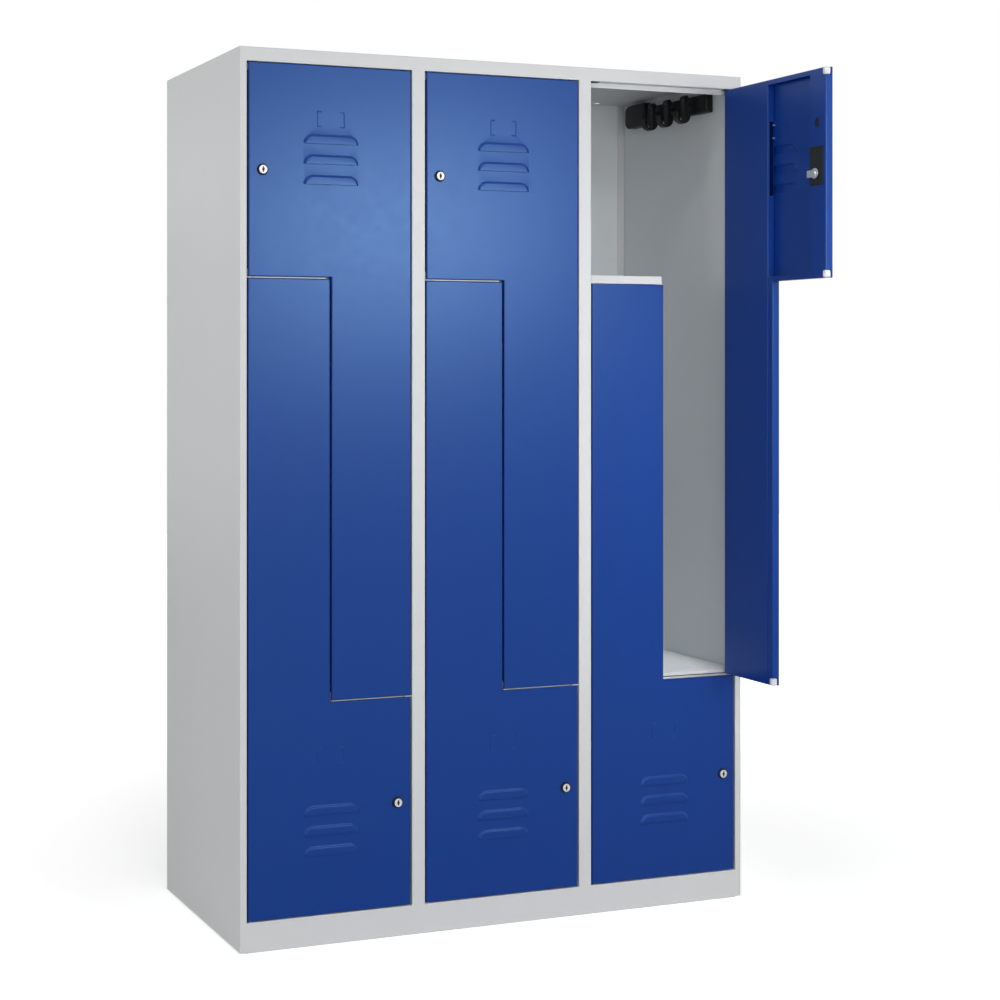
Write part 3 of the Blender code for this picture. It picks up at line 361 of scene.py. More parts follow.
MATERIALS = {
    "light_grey_steel": surface("light_grey_paint", (0.61, 0.62, 0.625), 0.36, specular=0.22),
    # A lighter copy of the grey paint: painted light on the inside sheets and shelf tops, which the lamps light too
    # dimly
    "inside_painted_light": surface("inside_painted_light", (0.725, 0.755, 0.77), 0.40, specular=0.22),
    # A near-black that paints shade: in the ledge corners above the doors, in the seam under the lower shelf, in the
    # keyhole and behind the spare hole
    "painted_shade": surface("painted_shade", (0.012, 0.011, 0.011), 0.55, specular=0.2),
    "blue_steel": surface("blue_paint", (0.0035, 0.031, 0.21), 0.31, tint=(0.37, 0.655, 1.0)),
    "zinc_steel": surface("zinc", (0.78, 0.79, 0.80), 0.34, metallic=1.0, stretch=(1, 1, 12), peel=(300, 0.08)),
    "black_plastic": surface("black_plastic", (0.010, 0.010, 0.010), 0.42, specular=0.3, peel=(1500, 0.12)),
    "white_plastic": surface("white_plastic", (0.62, 0.63, 0.66), 0.38, specular=0.3, peel=(1200, 0.05)),
    "plug_nickel": surface("plug_nickel", (0.60, 0.60, 0.60), 0.56, metallic=1.0, peel=(500, 0.02)),
    "chrome": surface("chrome", (0.82, 0.82, 0.82), 0.12, metallic=1.0, peel=(500, 0.02), stretch=(1, 1, 6)),
}


# ---------------------------------------------------------------- mesh helpers

def make_mesh(name, verts, faces):
    """A mesh with faces that point outwards, from points and index lists."""
    bm = bmesh.new()
    made = [bm.verts.new(point) for point in verts]
    for face in faces:
        if len(set(face)) > 2:
            bm.faces.new([made[index] for index in dict.fromkeys(face)])
    return finish_bmesh(name, bm)


def finish_bmesh(name, bm):
    """Turns a bmesh into a mesh without double points."""
    bmesh.ops.remove_doubles(bm, verts=bm.verts, dist=1e-6)
    loose = [vert for vert in bm.verts if not vert.link_faces]
    bmesh.ops.delete(bm, geom=loose, context="VERTS")
    bmesh.ops.recalc_face_normals(bm, faces=bm.faces)
    mesh = bpy.data.meshes.new(name)
    bm.to_mesh(mesh)
    bm.free()
    return mesh


def add_object(name, data):
    """A new object in the scene."""
    item = bpy.data.objects.new(name, data)
    bpy.context.scene.collection.objects.link(item)
    return item


def add_modifier(item, name, kind, **settings):
    """Gives an object a modifier."""
    modifier = item.modifiers.new(name, kind)
    for key, value in settings.items():
        setattr(modifier, key, value)


def evaluated(mesh, kind, **settings):
    """A mesh after one modifier."""
    item = add_object("work", mesh)
    add_modifier(item, kind.lower(), kind, **settings)
    bpy.context.view_layer.update()
    graph = bpy.context.evaluated_depsgraph_get()
    result = bpy.data.meshes.new_from_object(item.evaluated_get(graph))
    bpy.data.objects.remove(item)
    return result


def boolean(mesh, cutter):
    """One mesh cut by another."""
    other = add_object("cutter", cutter)
    result = evaluated(mesh, "BOOLEAN", object=other, operation="DIFFERENCE", solver="EXACT")
    bpy.data.objects.remove(other)
    return result


def bevel(width, segments, angle):
    """The settings of a modifier that rounds sharp edges."""
    return {
        "width": width, "segments": segments, "limit_method": "ANGLE",
        "angle_limit": math.radians(angle), "harden_normals": False,
    }


def rounded_edges(mesh, width, segments=2, angle=30):
    """A mesh with its sharp edges rounded."""
    return evaluated(mesh, "BEVEL", **bevel(width, segments, angle))


def smooth(mesh):
    """Shades a mesh smooth but for its sharp edges."""
    mesh.shade_smooth()
    mesh.set_sharp_from_angle(angle=math.radians(SHARP_ANGLE))


def two_paints(mesh, first, second, takes_second):
    """Gives a smooth mesh two materials, the second on the faces that a test picks."""
    mesh.materials.clear()
    mesh.materials.append(MATERIALS[first])
    mesh.materials.append(MATERIALS[second])
    for face in mesh.polygons:
        face.material_index = int(takes_second(face))
    smooth(mesh)


def joined(name, meshes):
    """Several meshes as one, each still a closed body of its own."""
    bm = bmesh.new()
    for mesh in meshes:
        bm.from_mesh(mesh)
    result = bpy.data.meshes.new(name)
    bm.to_mesh(result)
    bm.free()
    return result


def boxes(name, corners):
    """A mesh of boxes from pairs of opposite corners."""
    verts, faces = [], []
    for low, high in corners:
        base = len(verts)
        xs, ys, zs = (sorted(pair) for pair in zip(low, high))
        verts += [(x, y, z) for x in xs for y in ys for z in zs]
        for face in ((0, 1, 3, 2), (4, 6, 7, 5), (0, 4, 5, 1), (2, 3, 7, 6), (0, 2, 6, 4), (1, 5, 7, 3)):
            faces.append([base + index for index in face])
    return make_mesh(name, verts, faces)


def between(rows, closed=True):
    """Faces between rows of point numbers that are equally long."""
    faces = []
    for first, second in zip(rows, rows[1:]):
        count = len(first)
        for index in range(count if closed else count - 1):
            after = (index + 1) % count
            faces.append([first[index], first[after], second[after], second[index]])
    return faces


def prism(name, first, second):
    """A body between two equal outlines."""
    count = len(first)
    ends = [list(range(count)), list(range(count, 2 * count))]
    return make_mesh(name, first + second, ends + between(ends))


def circle(x, z, radius, steps=CIRCLE_STEPS, stretch=1.0):
    """Points round a circle, by default in X and Z."""
    return [
        (x + radius * math.cos(2 * math.pi * step / steps),
         z + radius * stretch * math.sin(2 * math.pi * step / steps))
        for step in range(steps)
    ]


def quarter(steps):
    """A quarter round in steps, as pairs of what is left of the way across and what is done of the way along."""
    angles = [math.radians(90) * step / steps for step in range(steps + 1)]
    return [(1 - math.sin(angle), 1 - math.cos(angle)) for angle in angles]


def turned(name, x, z, profile, steps=CIRCLE_STEPS):
    """A body of revolution about an axis along Y, from (radius, y) points starting and ending on the axis."""
    verts, rows = [], []
    for radius, y in profile:
        if radius < 1e-7:
            rows.append([len(verts)] * steps)
            verts.append((x, y, z))
            continue
        rows.append(list(range(len(verts), len(verts) + steps)))
        verts += [(across, y, up) for across, up in circle(x, z, radius, steps)]
    return make_mesh(name, verts, between(rows))


def rod(name, x, y, low, high, diameter, steps=20):
    """An upright pin with a small chamfer at both ends."""
    verts, rows = [], []
    radius, edge = diameter / 2, diameter / 10
    for reach, z in ((radius - edge, low), (radius, low + edge), (radius, high - edge), (radius - edge, high)):
        rows.append(list(range(len(verts), len(verts) + steps)))
        verts += [(across, along, z) for across, along in circle(x, y, reach, steps)]
    return make_mesh(name, verts, between(rows) + [rows[0], rows[-1]])


def soft_box(low, high, rounding=EDGE_ROUND, segments=2):
    """A box between two corners with rounded edges."""
    return rounded_edges(boxes("box", [(low, high)]), rounding, segments)


def cylinder(name, radius, front, back, steps=CIRCLE_STEPS):
    """A plain round body about the axis along Y."""
    return turned(name, 0, 0, [(0, front), (radius, front), (radius, back), (0, back)], steps)


def headed(radius, foot, head):
    """The profile of a round body with an eased head."""
    return [(0, foot), (radius, foot), (radius, head - EDGE_ROUND), (radius - EDGE_ROUND, head), (0, head)]


def plate(name, outline, front, back):
    """A flat outline in X and Z, as thick as the distance from front to back."""
    return prism(name, [(x, front, z) for x, z in outline], [(x, back, z) for x, z in outline])


def left_of(direction):
    """The direction turned a quarter to the left."""
    return Vector((-direction.y, direction.x))


def fold_line(path, radius):
    """A folded path with rounded corners, as (point, sideways direction) pairs."""
    points = [Vector(point) for point in path]
    line = []
    for index, point in enumerate(points):
        before = (point - points[index - 1]).normalized() if index else None
        after = (points[index + 1] - point).normalized() if index < len(points) - 1 else None
        if before is None or after is None:
            line.append((point, left_of(before or after)))
            continue
        turn = math.atan2(before.x * after.y - before.y * after.x, before.dot(after))
        sign = math.copysign(1, turn)
        tangent = radius * math.tan(abs(turn) / 2)
        centre = point - before * tangent + left_of(before) * radius * sign
        for step in range(FOLD_STEPS + 1):
            angle = turn * step / FOLD_STEPS
            start = left_of(before)
            sideways = Vector((
                start.x * math.cos(angle) - start.y * math.sin(angle),
                start.x * math.sin(angle) + start.y * math.cos(angle),
            ))
            line.append((centre - sideways * radius * sign, sideways))
    return line


def bent_sheet(name, path, start, end, axis, thickness=SHEET, radius=FOLD_RADIUS):
    """Sheet metal folded with real radii along a path through its middle, as long as start to end."""
    def place(point, along):
        if axis == 0:
            return (along, point.x, point.y)
        if axis == 1:
            return (point.x, along, point.y)
        return (point.x, point.y, along)

    verts, faces = [], []
    for point, sideways in fold_line(path, radius):
        for along in (start, end):
            for way in (0.5, -0.5):
                verts.append(place(point + sideways * thickness * way, along))
    last = len(verts) - 4
    for base in range(0, last, 4):
        after = base + 4
        faces += [
            [base, after, after + 2, base + 2], [base + 1, base + 3, after + 3, after + 1],
            [base, base + 1, after + 1, after], [base + 2, after + 2, after + 3, base + 3],
        ]
    faces += [[0, 2, 3, 1], [last, last + 1, last + 3, last + 2]]
    return make_mesh(name, verts, faces)


def fill_loops(points, loops):
    """Triangles between an outer loop and the loops of its holes. points are (x, z), loops are index lists."""
    bm = bmesh.new()
    used = {}
    for loop in loops:
        for index in loop:
            if index not in used:
                used[index] = bm.verts.new((*points[index], 0))
    back = {vert: index for index, vert in used.items()}
    edges = []
    for loop in loops:
        for first, second in zip(loop, loop[1:] + loop[:1]):
            edges.append(bm.edges.new((used[first], used[second])))
    bmesh.ops.triangle_fill(bm, use_beauty=True, edges=edges, normal=(0, 0, 1))
    faces = [[back[vert] for vert in face.verts] for face in bm.faces]
    bm.free()
    return faces


# ---------------------------------------------------------------- pieces

def piece(name, mesh, body, slot, place=None, stands_for=()):
    """Puts a mesh into the scene as a piece of a CAD body. One that has no material yet is painted and smoothed."""
    if not mesh.materials:
        mesh.materials.append(MATERIALS[slot])
        smooth(mesh)
    item = add_object(name, mesh)
    if place is not None:
        item.matrix_world = place
    add_modifier(item, "flat_faces_stay_flat", "WEIGHTED_NORMAL", keep_sharp=True, weight=100)
    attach(item, body)
    if stands_for:
        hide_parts(*stands_for)


def column_x(column):
    """The middle of a column."""
    return (column - (COLUMNS - 1) / 2) * PITCH


def post_places():
    """The middle of each post between two columns."""
    return [column_x(column) + PITCH / 2 for column in range(COLUMNS - 1)]


def hinge_pin(kind, column, low, high):
    """A pin on a door's hinge axis."""
    return rod("pin", column_x(column) + kind.hinge_x, HINGE_Y, low, high, PIN_DIAMETER)


def hinge_plate(kind, column):
    """The small plate in a step gap with the pin for the tip of a door's leg."""
    level = STEP_LOWER_Z if kind is UPPER else STEP_UPPER_Z
    edge = column_x(column) + kind.side * OPENING_HALF
    half = BRACKET_THICKNESS / 2
    low = (edge + kind.side * HALF_SHEET, FRONT + BRACKET_SETBACK, level - half)
    high = (edge - kind.side * BRACKET_WIDTH, LIP_FRONT - SEAT_GAP, level + half)
    return [soft_box(low, high), hinge_pin(kind, column, *sorted((level, level + kind.side * PIN_LENGTH)))]


def corner_fill(u, v, way_u, way_v, start, end, axis):
    """Weld metal that fills the groove beside a rounded fold, so that the frame's front runs through."""
    radius = FOLD_RADIUS + HALF_SHEET
    outline = [(u, v)]
    outline += [(u - way_u * radius * left, v + way_v * radius * done) for left, done in quarter(FOLD_STEPS)]
    ends = [[(a, b, along) if axis == 2 else (along, b, a) for a, b in outline] for along in (start, end)]
    return prism("fill", *ends)


def build_side(side):
    """A side wall with its front stile, stop lip and rear flange folded from one sheet."""
    outer = side * (WIDTH / 2 - HALF_SHEET)
    stile = side * (WIDTH / 2 - STILE + HALF_SHEET)
    path = [
        (side * (WIDTH / 2 - SIDE_REAR_FLANGE), BACK_MIDDLE),
        (outer, BACK_MIDDLE),
        (outer, FACE_MIDDLE),
        (stile, FACE_MIDDLE),
        (stile, LIP_MIDDLE),
        (side * (WIDTH / 2 - STILE - STOP_LIP), LIP_MIDDLE),
    ]
    sheet = bent_sheet("side_panel", path, SIDE_LIFT, HEIGHT - SHEET, 2)
    edge = side * (WIDTH / 2 - STILE)
    parts = [sheet]
    for low, high in ((SIDE_LIFT, PLINTH_HEIGHT), (OPENING_TOP, HEIGHT - SHEET)):
        parts.append(corner_fill(edge, FRONT, -side, 1, low, high, 2))
    kind, column = (LOWER, 0) if side < 0 else (UPPER, COLUMNS - 1)
    parts += hinge_plate(kind, column)
    name = "side_panel_left" if side < 0 else "side_panel_right"
    mesh = joined(name, parts + wall_strips(side))

    def inside(face):
        on_wall = abs(face.center.x) > WIDTH / 2 - 2 * SHEET
        return face.normal.x * side < -FACING and face.area > INSIDE_FACE_AREA and on_wall

    # The wall's inner faces get the lighter grey, painted light for the inside
    two_paints(mesh, "light_grey_steel", "inside_painted_light", inside)
    piece(name + "_skin", mesh, "carcass", "light_grey_steel", stands_for=[name])


def wall_strips(side):
    """The narrow flange that closes the corner between a side wall and the back sheet, above and below the shelf."""
    shelf = LOWER_SHELF_Z if side > 0 else UPPER_SHELF_Z
    wall = side * (WIDTH / 2 - SHEET - SEAT_GAP)
    back = BACK - 2 * SHEET - SEAT_GAP - SEAT_GAP
    strips = []
    for low, high in ((FLOOR_TOP, shelf - 2 * SHEET), (shelf + SEAT_GAP, HEIGHT - SHEET - SEAT_GAP)):
        strips.append(((wall, back - SHEET, low), (wall - side * WALL_STRIP, back, high)))
    return [soft_box(*strip) for strip in strips]


def lip_cuts(low, high):
    """Boxes where the upright lips of stiles and posts pass a cross rail's lip."""
    reach = STILE + STOP_LIP + SEAT_GAP
    spans = [(x - reach, x + reach) for x in post_places()]
    spans.append((-WIDTH / 2 - OVERRUN, -WIDTH / 2 + reach))
    spans.append((WIDTH / 2 - reach, WIDTH / 2 + OVERRUN))
    front, back = LIP_FRONT - SEAT_GAP, LIP_BACK + OVERRUN
    return boxes("lip_cuts", [((left, front, low), (right, back, high)) for left, right in spans])


def build_top():
    """The top sheet with its front flange, stop lip and rear flange."""
    path = [
        (LIP_MIDDLE, OPENING_TOP - TOP_LIP),
        (LIP_MIDDLE, OPENING_TOP + HALF_SHEET),
        (FACE_MIDDLE, OPENING_TOP + HALF_SHEET),
        (FACE_MIDDLE, HEIGHT - HALF_SHEET),
        (BACK_MIDDLE, HEIGHT - HALF_SHEET),
        (BACK_MIDDLE, HEIGHT - TOP_REAR_FLANGE),
    ]
    sheet = bent_sheet("top_panel", path, -WIDTH / 2, WIDTH / 2, 0)
    low = OPENING_TOP - TOP_LIP - OVERRUN
    sheet = boolean(sheet, lip_cuts(low, OPENING_TOP + SHEET))
    ends = []
    for side in (-1, 1):
        for edge, front, back in (
            (WIDTH / 2 - STILE, FRONT - OVERRUN, LIP_BACK + OVERRUN),
            (WIDTH / 2 - SIDE_REAR_FLANGE, BACK - SHEET - SEAT_GAP, BACK + OVERRUN),
        ):
            ends.append(((side * edge, front, low), (side * (WIDTH / 2 + OVERRUN), back, HEIGHT - SHEET)))
    sheet = boolean(sheet, boxes("corner_cuts", ends))
    for column in range(COLUMNS):
        for side in (-1, 1):
            x = column_x(column) + side * CEILING_HOLE_SPREAD
            y = BACK - CEILING_HOLE_FROM_BACK
            sheet = boolean(sheet, rod("hole", x, y, HEIGHT - 2 * OVERRUN, HEIGHT + OVERRUN, CEILING_HOLE))
    ends = (OPENING_TOP - PIN_LENGTH, OPENING_TOP + HALF_SHEET)
    parts = [sheet] + [hinge_pin(UPPER, column, *ends) for column in range(COLUMNS)]
    piece("top_panel_skin", joined("top_panel", parts), "carcass", "light_grey_steel", stands_for=["top_panel"])


def build_plinth():
    """The front kick plate with its foot, its ledge and the lip that the doors shut on."""
    path = [
        (FRONT + PLINTH_FOOT, HALF_SHEET),
        (FACE_MIDDLE, HALF_SHEET),
        (FACE_MIDDLE, PLINTH_HEIGHT - HALF_SHEET),
        (LIP_MIDDLE, PLINTH_HEIGHT - HALF_SHEET),
        (LIP_MIDDLE, FLOOR_TOP),
    ]
    half = WIDTH / 2 - STILE
    sheet = bent_sheet("plinth_front", path, -half, half, 0)
    sheet = boolean(sheet, lip_cuts(PLINTH_HEIGHT - 2 * SHEET, FLOOR_TOP + OVERRUN))
    parts = [sheet]
    for x in post_places():
        parts.append(corner_fill(PLINTH_HEIGHT, FRONT, 1, 1, x - STILE, x + STILE, 0))
    root = PLINTH_HEIGHT - HALF_SHEET
    parts += [hinge_pin(LOWER, column, root, root + PIN_LENGTH) for column in range(COLUMNS)]
    piece("plinth_front_skin", joined("plinth", parts), "carcass", "light_grey_steel", stands_for=["plinth_front"])


def build_post(number, x):
    """The hat-shaped post between two columns, with a hinge plate on each side."""
    wall = STILE - HALF_SHEET
    lip = STILE + STOP_LIP
    path = [
        (x - lip, LIP_MIDDLE),
        (x - wall, LIP_MIDDLE),
        (x - wall, FACE_MIDDLE),
        (x + wall, FACE_MIDDLE),
        (x + wall, LIP_MIDDLE),
        (x + lip, LIP_MIDDLE),
    ]
    parts = [bent_sheet("front_post", path, PLINTH_HEIGHT, OPENING_TOP, 2)]
    parts.append(corner_fill(OPENING_TOP, FRONT, -1, 1, x - STILE, x + STILE, 0))
    parts += hinge_plate(UPPER, number - 1) + hinge_plate(LOWER, number)
    name = f"front_post_{number}"
    piece(name + "_skin", joined(name, parts), "carcass", "light_grey_steel", stands_for=[name])


def build_divisions():
    """The Z-shaped division of each column, with its rail, step strips and a lower shelf that rolls down in front.

    The rail's foot and the shelf's front lip overlap in one plane, which shows black when the doors are open.
    """
    upper = UPPER_SHELF_Z - HALF_SHEET
    lower = LOWER_SHELF_Z - HALF_SHEET
    cell = PITCH / 2 - SHEET - SEAT_GAP
    back = BACK - 2 * SHEET - SEAT_GAP - 2 * SHEET
    end = OPENING_HALF - STOP_LIP - SEAT_GAP
    under = lower - SHEET - SEAT_GAP
    path = [(-cell, upper), (0, upper), (0, under), (2 * SHELF_ROUND, under)]
    sheet = bent_sheet("division", path, LIP_MIDDLE, back, 1)
    front = LIP_MIDDLE
    path = [(front, STEP_LOWER_Z - LOWER_RAIL_REACH), (front, lower), (back, lower)]
    shelf = bent_sheet("shelf", path, -MIDDLE_RAIL_REACH, cell, 0, radius=SHELF_ROUND)
    notches = []
    for left, right in ((-cell - OVERRUN, -end), (end, cell + OVERRUN)):
        low = (left, LIP_FRONT - OVERRUN, STEP_LOWER_Z - LOWER_RAIL_REACH - OVERRUN)
        notches.append((low, (right, LIP_BACK + SEAT_GAP, upper + OVERRUN)))
    clear = boxes("notches", notches)
    room = boxes("room", [((-cell, LIP_BACK, lower - 2 * SHELF_ROUND), (HALF_SHEET, back + OVERRUN, lower + OVERRUN))])
    shelf = boolean(boolean(shelf, clear), room)
    outline = [
        (-end, STEP_UPPER_Z + UPPER_RAIL_REACH),
        (MIDDLE_RAIL_REACH, STEP_UPPER_Z + UPPER_RAIL_REACH),
        (MIDDLE_RAIL_REACH, STEP_LOWER_Z - LOWER_RAIL_REACH),
        (-MIDDLE_RAIL_REACH, STEP_LOWER_Z - LOWER_RAIL_REACH),
        (-MIDDLE_RAIL_REACH, STEP_UPPER_Z - UPPER_RAIL_REACH),
        (-end, STEP_UPPER_Z - UPPER_RAIL_REACH),
    ]
    rail = rounded_edges(plate("rail", outline, LIP_FRONT, LIP_BACK), EDGE_ROUND)
    plate_end = OPENING_HALF - BRACKET_WIDTH
    strips = []
    for left, right, front, level, thick in (
        (SEAT_GAP - plate_end, -UPPER_STRIP_END, UPPER_STRIP_SETBACK, STEP_UPPER_Z, UPPER_STRIP_THICKNESS),
        (LOWER_STRIP_END, plate_end - STRIP_TO_PLATE, LOWER_STRIP_SETBACK, STEP_LOWER_Z, LOWER_STRIP_THICKNESS),
    ):
        low, high = (left, FRONT + front, level - thick / 2), (right, LIP_MIDDLE, level + thick / 2)
        strips.append(soft_box(low, high))
    mesh = joined("z_division", [boolean(sheet, clear), shelf, rail] + strips)
    # The shelf's top gets the lighter grey, painted light for the inside
    two_paints(mesh, "light_grey_steel", "inside_painted_light",
               lambda face: face.center.y > LIP_BACK + SHELF_ROUND and face.area > INSIDE_FACE_AREA)
    for column in range(COLUMNS):
        name = f"z_division_{column + 1}"
        place = Matrix.Translation((column_x(column), 0, 0))
        piece(name + "_sheet", mesh, "carcass", "light_grey_steel", place, [name])


def build_painted_shade():
    """Painted shade: near-black pads and wedges in the ledge corners above each door, where the gap lies in shade, and
    a near-black strip for the shade in the seam between the lower shelf and its strip.
    """
    pads, wedges = [], []
    for column in range(COLUMNS):
        for side in (-1, 1):
            edge = column_x(column) + side * OPENING_HALF
            tip = edge - side * NOTCH_LENGTH
            low = (edge, FRONT + NOTCH_SETBACK, OPENING_TOP - NOTCH_THICKNESS)
            pads.append((low, (tip, LIP_FRONT - SEAT_GAP, OPENING_TOP + HALF_SHEET / 2)))
            wedge = [(edge, OPENING_TOP), (tip, OPENING_TOP), (edge, OPENING_TOP - NOTCH_DROP)]
            wedges.append(plate("wedge", wedge, LIP_FRONT - 2 * SEAT_GAP, LIP_FRONT + SEAT_GAP))
        left, right = column_x(column) + MIDDLE_RAIL_REACH, column_x(column) + OPENING_HALF - STOP_LIP
        low = (left, LIP_FRONT - SEAT_GAP, STEP_LOWER_Z + SEAM_LOW)
        pads.append((low, (right, LIP_FRONT + SEAT_GAP, STEP_LOWER_Z + SEAM_HIGH)))
    mesh = joined("ledge_painted_shade", [rounded_edges(boxes("pads", pads), EDGE_ROUND / 2)] + wedges)
    mesh.materials.append(MATERIALS["painted_shade"])
    # The mesh already carries the painted shade, so the black plastic slot is not used
    piece("ledge_painted_shade", mesh, "carcass", "black_plastic")


# ---------------------------------------------------------------- doors

def door_outline(kind, inset):
    """The door's L-shaped outline in X and Z about the hinge axis, drawn in by one inset all round."""
    side = kind.side
    hinge_edge = side * (OPENING_HALF - HINGE_GAP - inset) - kind.hinge_x
    leg_edge = side * (SPLIT_GAP / 2 + inset) - kind.hinge_x
    lock_edge = -side * (OPENING_HALF - FREE_GAP - inset) - kind.hinge_x
    high = kind.wide_end - side * inset
    low = kind.tip + side * inset
    middle = kind.step + side * inset
    return [
        (lock_edge, high), (hinge_edge, high), (hinge_edge, low),
        (leg_edge, low), (leg_edge, middle), (lock_edge, middle),
    ]


def louvre_line(inset):
    """A louvre's left side, top and right side about the middle of its bottom edge, drawn in."""
    half = LOUVRE_WIDTH / 2 - inset
    top = LOUVRE_HEIGHT - inset
    radius = LOUVRE_CORNER - inset
    points = [(-half, 0)]
    for left, done in quarter(LOUVRE_ARC_STEPS):
        points.append((-half + radius * LOUVRE_STRETCH * done, top - radius * left))
    return points + [(-x, z) for x, z in reversed(points)]


def louvre_rise(share):
    """How far a louvre's bevel has risen, from 0 to 1, at a share of its width."""
    return share - LOUVRE_EASE * math.sin(2 * math.pi * share) / (2 * math.pi)


class Shell:
    """A skin of sheet metal built twice, outside and inside, and closed along its free edges."""

    def __init__(self):
        self.outer = []
        self.inner = []
        self.faces = []

    def add(self, points, y, inner_y, inner_points=None):
        """Adds a row of (x, z) points at one depth and gives back their numbers."""
        start = len(self.outer)
        for index, (x, z) in enumerate(points):
            inner_x, inner_z = (inner_points or points)[index]
            self.outer.append((x, y, z))
            self.inner.append((inner_x, inner_y, inner_z))
        return list(range(start, len(self.outer)))

    def fill(self, loops):
        """A flat face with holes."""
        self.faces += fill_loops([(x, z) for x, _, z in self.outer], loops)

    def mesh(self, name):
        """The closed sheet."""
        bm = bmesh.new()
        outside = [bm.verts.new(point) for point in self.outer]
        for face in self.faces:
            bm.faces.new([outside[index] for index in face])
        bmesh.ops.recalc_face_normals(bm, faces=bm.faces)
        bm.verts.index_update()
        directed = [[vert.index for vert in face.verts] for face in bm.faces]
        edges = {}
        for face in directed:
            for first, second in zip(face, face[1:] + face[:1]):
                edges[(first, second)] = True
        inside = [bm.verts.new(point) for point in self.inner]
        for face in directed:
            bm.faces.new([inside[index] for index in reversed(face)])
        for first, second in edges:
            if (second, first) not in edges:
                bm.faces.new([outside[second], outside[first], inside[first], inside[second]])
        return finish_bmesh(name, bm)


def door_shell(kind):
    """The painted skin of a door: face, rolled edges, returns, louvres and holes."""
    side = kind.side
    middle = -kind.hinge_x
    inner_fold = DOOR_FOLD - SHEET
    shell = Shell()
    rows = []
    for back in (False, True):
        fold = quarter(FOLD_STEPS)
        for drawn, deep in (reversed(fold) if back else fold):
            outer_y, inner_y = DOOR_FOLD * deep, SHEET + inner_fold * deep
            y = (INNER_PLANE - outer_y, INNER_PLANE - inner_y) if back else (FRONT + outer_y, FRONT + inner_y)
            outline = door_outline(kind, DOOR_FOLD * drawn)
            inner_outline = door_outline(kind, SHEET + inner_fold * drawn)
            rows.append(shell.add(outline, *y, inner_outline))
    shell.faces += between(rows)

    holes = [shell.add(circle(kind.lock_x, kind.lock_z, NECK_DIAMETER / 2 + SEAT_GAP), *SKIN_DEPTHS)]
    for number in range(LOUVRES):
        level = kind.louvre_z + number * LOUVRE_PITCH
        lines = []
        for ring in range(LOUVRE_RINGS + 1):
            share = ring / LOUVRE_RINGS
            points = [(middle + x, level + z) for x, z in louvre_line(LOUVRE_BEVEL * share)]
            y = FRONT - LOUVRE_PROUD * louvre_rise(share)
            lines.append(shell.add(points, y, y + SHEET))
        shell.faces += between(lines, closed=False)
        shell.fill([lines[-1]])
        half = LOUVRE_WIDTH / 2
        slit = [(middle + half, level - LOUVRE_SLIT), (middle - half, level - LOUVRE_SLIT)]
        holes.append(lines[0] + shell.add(slit, *SKIN_DEPTHS))
    for way in (-1, 1):
        x = middle + way * (LABEL_WIDTH / 2 - LABEL_RIDGE / 2)
        half = LABEL_HEIGHT / 2 - LABEL_RIDGE
        left, right = x - LABEL_SLIT / 2, x + LABEL_SLIT / 2
        low, high = kind.label_z - half, kind.label_z + half
        holes.append(shell.add([(left, low), (right, low), (right, high), (left, high)], *SKIN_DEPTHS))
    shell.fill([rows[0]] + holes)

    web = side * (WEB_X + WEB_SLANT + FOLD_RADIUS + HALF_SHEET) + middle
    slot_edge = side * (SPLIT_GAP / 2 + LEG_RETURN) + middle
    lock_side = -side * (OPENING_HALF - FREE_GAP - LOCK_RETURN) + middle
    high = kind.wide_end - side * EDGE_RETURN
    step = kind.step + side * EDGE_RETURN
    low = kind.tip + side * EDGE_RETURN
    mouth = [(lock_side, high), (web, high), (web, low), (slot_edge, low), (slot_edge, step), (lock_side, step)]
    holes = [shell.add(mouth, *PAN_DEPTHS)]
    case_z = kind.lock_z + side * CASE_SHIFT
    wide, tall = CASE_WIDTH / 2 + SEAT_GAP, CASE_HEIGHT / 2 + SEAT_GAP
    corners = [(-wide, -tall), (wide, -tall), (wide, tall), (-wide, tall)]
    corners = [(kind.lock_x + x, case_z + z) for x, z in corners]
    holes.append(shell.add(corners, *PAN_DEPTHS))
    spare_z = kind.lock_z + side * SPARE_HOLE_RISE
    spare = circle(kind.lock_x, spare_z, SPARE_HOLE_WIDTH / 2, SPARE_HOLE_STEPS, SPARE_HOLE_HEIGHT / SPARE_HOLE_WIDTH)
    holes.append(shell.add(spare, *PAN_DEPTHS))
    shell.fill([rows[-1]] + holes)
    mesh = shell.mesh("door_" + kind.name)

    notches = []
    for x, z, inward, up in bumper_corners(kind):
        low = (x - inward * OVERRUN, INNER_PLANE - BUMPER_DEPTH - SEAT_GAP, z - up * OVERRUN)
        reach = (x + inward * (BUMPER_WIDTH + SEAT_GAP), INNER_PLANE + OVERRUN, z + up * (BUMPER_HEIGHT + SEAT_GAP))
        notches.append((low, reach))
    mesh = boolean(mesh, boxes("notches", notches))
    for level in (kind.wide_end, kind.tip):
        hole = rod("pin_hole", 0, HINGE_Y, level - 2 * OVERRUN, level + 2 * OVERRUN, PIN_DIAMETER + 2 * PIN_CLEARANCE)
        mesh = boolean(mesh, hole)
    return mesh


def bumper_corners(kind):
    """The three free corners of a door that carry a bumper, with the way each one points."""
    lock_edge = -kind.side * (OPENING_HALF - FREE_GAP) - kind.hinge_x
    leg_edge = kind.side * SPLIT_GAP / 2 - kind.hinge_x
    return [
        (lock_edge, kind.wide_end, kind.side, -kind.side),
        (lock_edge, kind.step, kind.side, kind.side),
        (leg_edge, kind.tip, kind.side, kind.side),
    ]


def louvre_backs(kind):
    """Strips behind the narrow slit under each louvre, so that no light comes through."""
    strips = []
    middle, half, front = -kind.hinge_x, LOUVRE_WIDTH / 2, FRONT + SHEET
    for number in range(LOUVRES):
        level = kind.louvre_z + number * LOUVRE_PITCH
        high = (middle + half, front + LOUVRE_BACKING, level + LOUVRE_SLIT / 2)
        strips.append(((middle - half, front, level - 2 * LOUVRE_SLIT), high))
    return [boxes("backs", strips)]


